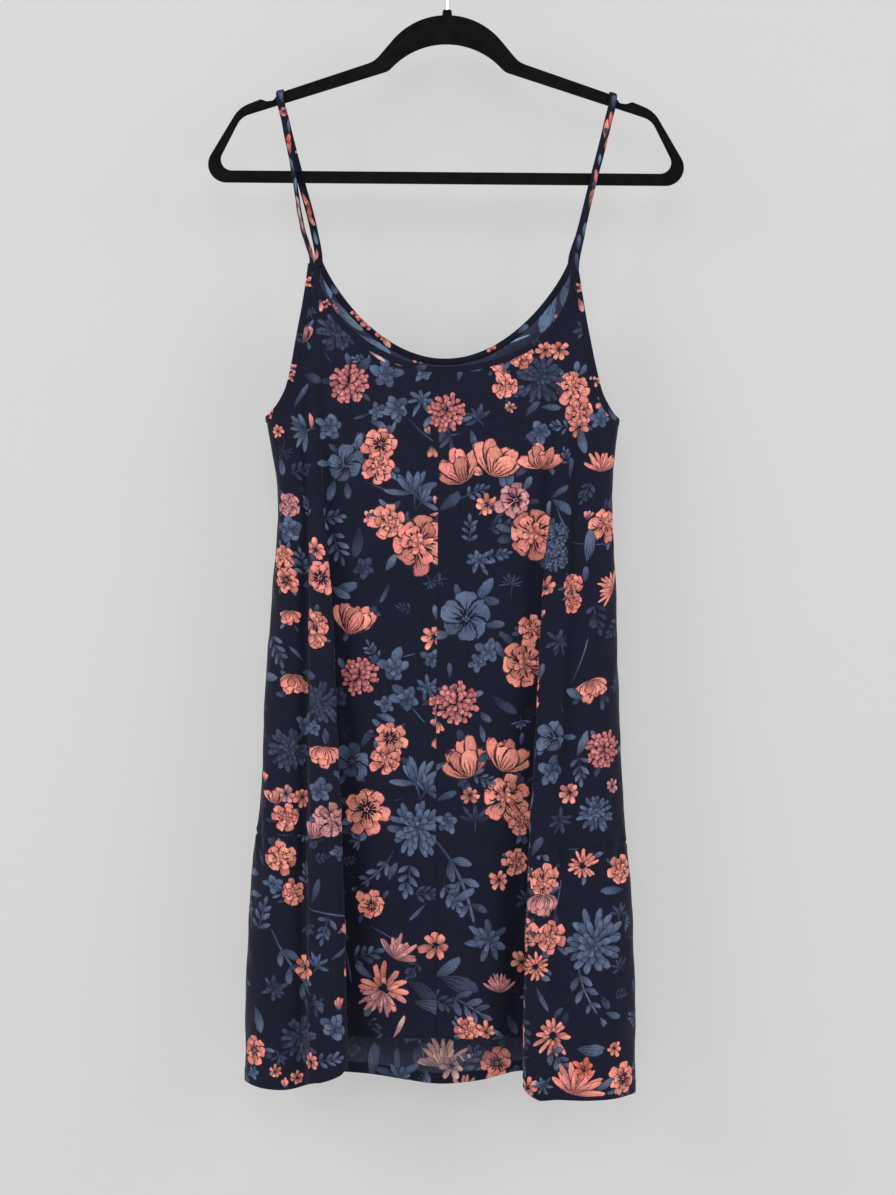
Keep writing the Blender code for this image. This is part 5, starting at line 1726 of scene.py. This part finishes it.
for side, sign in SIDES.items():
    control = strap_path(side)[:, None]
    path = along(control, np.linspace(0, len(control) - 1, 240)[:, None])[:, 0]
    way = np.gradient(path, axis=0)
    way /= np.linalg.norm(way, axis=1, keepdims=True)
    tilt = math.radians(STRAP_TILT)
    across = np.array([math.cos(tilt), 0.0, -sign * math.sin(tilt)])
    level_share = np.clip((-path[:, 2] - LEVEL_FROM) / LEVEL_OVER, 0, 1)[:, None]
    across = across * (1 - level_share) + np.array([1.0, 0.0, 0.0]) * level_share
    across = across - way * np.sum(across * way, axis=1, keepdims=True) * (1 - level_share)
    across /= np.linalg.norm(across, axis=1, keepdims=True)
    twist, drops = TWISTS[side], -path[:, 2]
    share = eased(drops, twist.top, twist.full) * (1 - eased(drops, twist.ease, twist.foot))
    turn = np.radians(twist.turn * share * (path[:, 1] < 0))[:, None]
    across = across * np.cos(turn) + np.cross(across, way) * np.sin(turn)
    normals = np.cross(across, way)
    node = f"{side}_strap"
    petals = strip_petals(STRAP_PRINT[side], STRAP_HALF)
    from_end = np.minimum(np.arange(len(path)), np.arange(len(path))[::-1])
    caught = 1 - eased(from_end, *CAUGHT_OVER)
    halves = STRAP_HALF + CAUGHT_WIDER * caught
    thicks = STRAP_HALF_THICK + CAUGHT_THICKER * caught
    name = f"{node}_cloth"
    piece, total = tube(name, path, across, normals, halves, thicks, petals, STRAP_SEED)
    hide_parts(node)
    print(node, "is", round(total), "mm long")

# %% [markdown]
# ## Hanger
# The hanger is a flat moulded frame covered in short black flock, which swallows light and
# stops thin straps from slipping. The frame is remade here with rounder edges, from its
# own corners and radii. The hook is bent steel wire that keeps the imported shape.

# %% Hanger frame
HANGER_OUTER = (
    (0.0, 33.4, 66.5),
    (67.7, 114.1, 22.0),
    (157.0, 144.5, 3.0),
    (162.5, 151.6, 3.0),
    (168.5, 152.4, 3.0),
    (174.0, 150.4, 4.0),
    (194.3, 158.6, 28.0),
    (235.8, 228.7, 17.1),
)
HANGER_INNER = (
    (0.0, 68.5, 70.2),
    (54.7, 123.3, 12.0),
    (192.2, 167.1, 18.0),
    (217.5, 217.4, 10.5),
)
FRAME_ROUND = 1.9
BOSS = ((0.0, 65.4), (3.6, 65.4), (4.2, 66.2), (5.4, 78.0), (5.4, 84.0), (0.0, 84.0))
BOSS_SIDES, BOSS_FLAT = 24, 0.44


def rounded(corners, steps=7):
    """An outline through corners given as (x, z, radius), each turned with an arc."""
    points = []
    count = len(corners)
    for i, (x, z, radius) in enumerate(corners):
        here = np.array([x, z])
        back = np.array(corners[i - 1][:2]) - here
        on = np.array(corners[(i + 1) % count][:2]) - here
        back, on = back / np.linalg.norm(back), on / np.linalg.norm(on)
        half = math.acos(max(-1.0, min(1.0, float(back @ on)))) / 2
        bisector = (back + on) / np.linalg.norm(back + on)
        centre = here + bisector * radius / math.sin(half)
        reach = radius / math.tan(half)
        first, last = here + back * reach - centre, here + on * reach - centre
        turn = math.atan2(first[0] * last[1] - first[1] * last[0], float(first @ last))
        pieces = max(3, round(steps * abs(turn) * max(1.0, radius / 20.0)))
        for step in range(pieces + 1):
            c, s = math.cos(turn * step / pieces), math.sin(turn * step / pieces)
            points.append(centre + np.array([c * first[0] - s * first[1], s * first[0] + c * first[1]]))
    return points


def mirrored(half):
    """A whole outline from one side's corners. The first corner is on the middle line."""
    right = [(x, -drop, radius) for x, drop, radius in half]
    return right + [(-x, z, radius) for x, z, radius in right[:0:-1]]


def frame_mesh():
    """The hanger's frame as a filled 2D curve with a rounded edge, stood upright."""
    curve = bpy.data.curves.new("frame_curve", "CURVE")
    curve.dimensions = "2D"
    curve.fill_mode = "BOTH"
    curve.extrude = (HANGER_THICK / 2 - FRAME_ROUND) * MM
    curve.bevel_depth = FRAME_ROUND * MM
    curve.bevel_resolution = 4
    curve.offset = -FRAME_ROUND * MM
    for half in (HANGER_OUTER, HANGER_INNER):
        outline = rounded(mirrored(half))
        spline = curve.splines.new("POLY")
        spline.points.add(len(outline) - 1)
        spline.use_cyclic_u = True
        for point, (x, z) in zip(spline.points, outline):
            point.co = (x * MM, z * MM, 0.0, 1.0)
    rough = bpy.data.objects.new("rough_frame", curve)
    bpy.context.scene.collection.objects.link(rough)
    rough.rotation_euler = (math.radians(90), 0, 0)
    bpy.context.view_layer.update()
    mesh = bpy.data.meshes.new_from_object(rough.evaluated_get(bpy.context.evaluated_depsgraph_get()))
    mesh.transform(rough.matrix_world)
    bpy.data.objects.remove(rough)
    return mesh


shape = bmesh.new()
shape.from_mesh(frame_mesh())
rings = []
for radius, drop in BOSS:
    ring = []
    for a in np.linspace(0, 2 * math.pi, BOSS_SIDES, endpoint=False):
        x, y = radius * math.cos(a), radius * math.sin(a) * BOSS_FLAT
        ring.append(shape.verts.new((x * MM, y * MM, -drop * MM)))
    rings.append(ring)
for upper, lower in zip(rings, rings[1:]):
    for k in range(BOSS_SIDES):
        on = (k + 1) % BOSS_SIDES
        shape.faces.new((upper[k], upper[on], lower[on], lower[k]))
bmesh.ops.remove_doubles(shape, verts=shape.verts, dist=1e-6)
bmesh.ops.recalc_face_normals(shape, faces=shape.faces)
frame_shape = bpy.data.meshes.new("hanger_frame_flocked")
shape.to_mesh(frame_shape)
shape.free()
frame_shape.shade_smooth()
frame_shape.set_sharp_from_angle(angle=math.radians(50))
print("the hanger's frame has", len(frame_shape.polygons), "faces")

# %% [markdown]
# ## Flock and steel
# Flock is short nylon fibre stood on end in glue, so almost no light comes back from it but
# at its rim: a dark, rough surface with a weak sheen and a very fine bump. The hook is
# drawn steel wire with a bright plating. It is metallic, and fine noise in its roughness
# stands for the marks of the drawing die.

# %% Flock and steel
def flock():
    """Nylon flock on a moulded core: near black, matt, with a soft bright rim."""
    finish, tree, shader = new_material("black_nylon_flock")
    here = add_node(tree, "ShaderNodeTexCoord").outputs["Object"]
    fibres, patches = noise(tree, here, 1400.0, 3.0), noise(tree, here, 90.0, 2.0)
    both = add_node(tree, "ShaderNodeMath", {0: fibres, 1: patches}, operation="ADD").outputs[0]
    ramp = add_node(tree, "ShaderNodeMapRange", {"Value": both, "From Min": 0.7, "From Max": 1.3})
    colour = mixed(tree, ramp.outputs[0], linear("#050506"), linear("#141417"))
    bump = add_node(tree, "ShaderNodeBump", {"Height": fibres, "Strength": 0.6, "Distance": 0.0005})
    tree.links.new(colour, shader.inputs["Base Color"])
    tree.links.new(bump.outputs[0], shader.inputs["Normal"])
    shader.inputs["Roughness"].default_value = 0.95
    shader.inputs["Specular IOR Level"].default_value = 0.15
    shader.inputs["Sheen Weight"].default_value = 0.10
    shader.inputs["Sheen Roughness"].default_value = 0.3
    return finish


def drawn_steel():
    """Nickel-plated steel wire: smooth, bright, with faint lines from the drawing die."""
    finish, tree, shader = new_material("nickel_plated_wire")
    here = add_node(tree, "ShaderNodeTexCoord").outputs["Object"]
    lines = noise(tree, here, 900.0, 2.0)
    rough = add_node(tree, "ShaderNodeMapRange", {"Value": lines, "To Min": 0.16, "To Max": 0.34})
    tree.links.new(rough.outputs[0], shader.inputs["Roughness"])
    shader.inputs["Base Color"].default_value = linear("#b9bbbe")
    shader.inputs["Metallic"].default_value = 1.0
    return finish


frame_piece = add_piece("hanger_frame_flocked", frame_shape, flock())
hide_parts("hanger_frame")
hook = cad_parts["hanger_hook"]
if not hook.data.materials:
    hook.data.materials.append(None)
for material_slot in hook.material_slots:
    material_slot.material = drawn_steel()
print("on the hanger:", frame_piece.active_material.name, "and", hook.active_material.name)
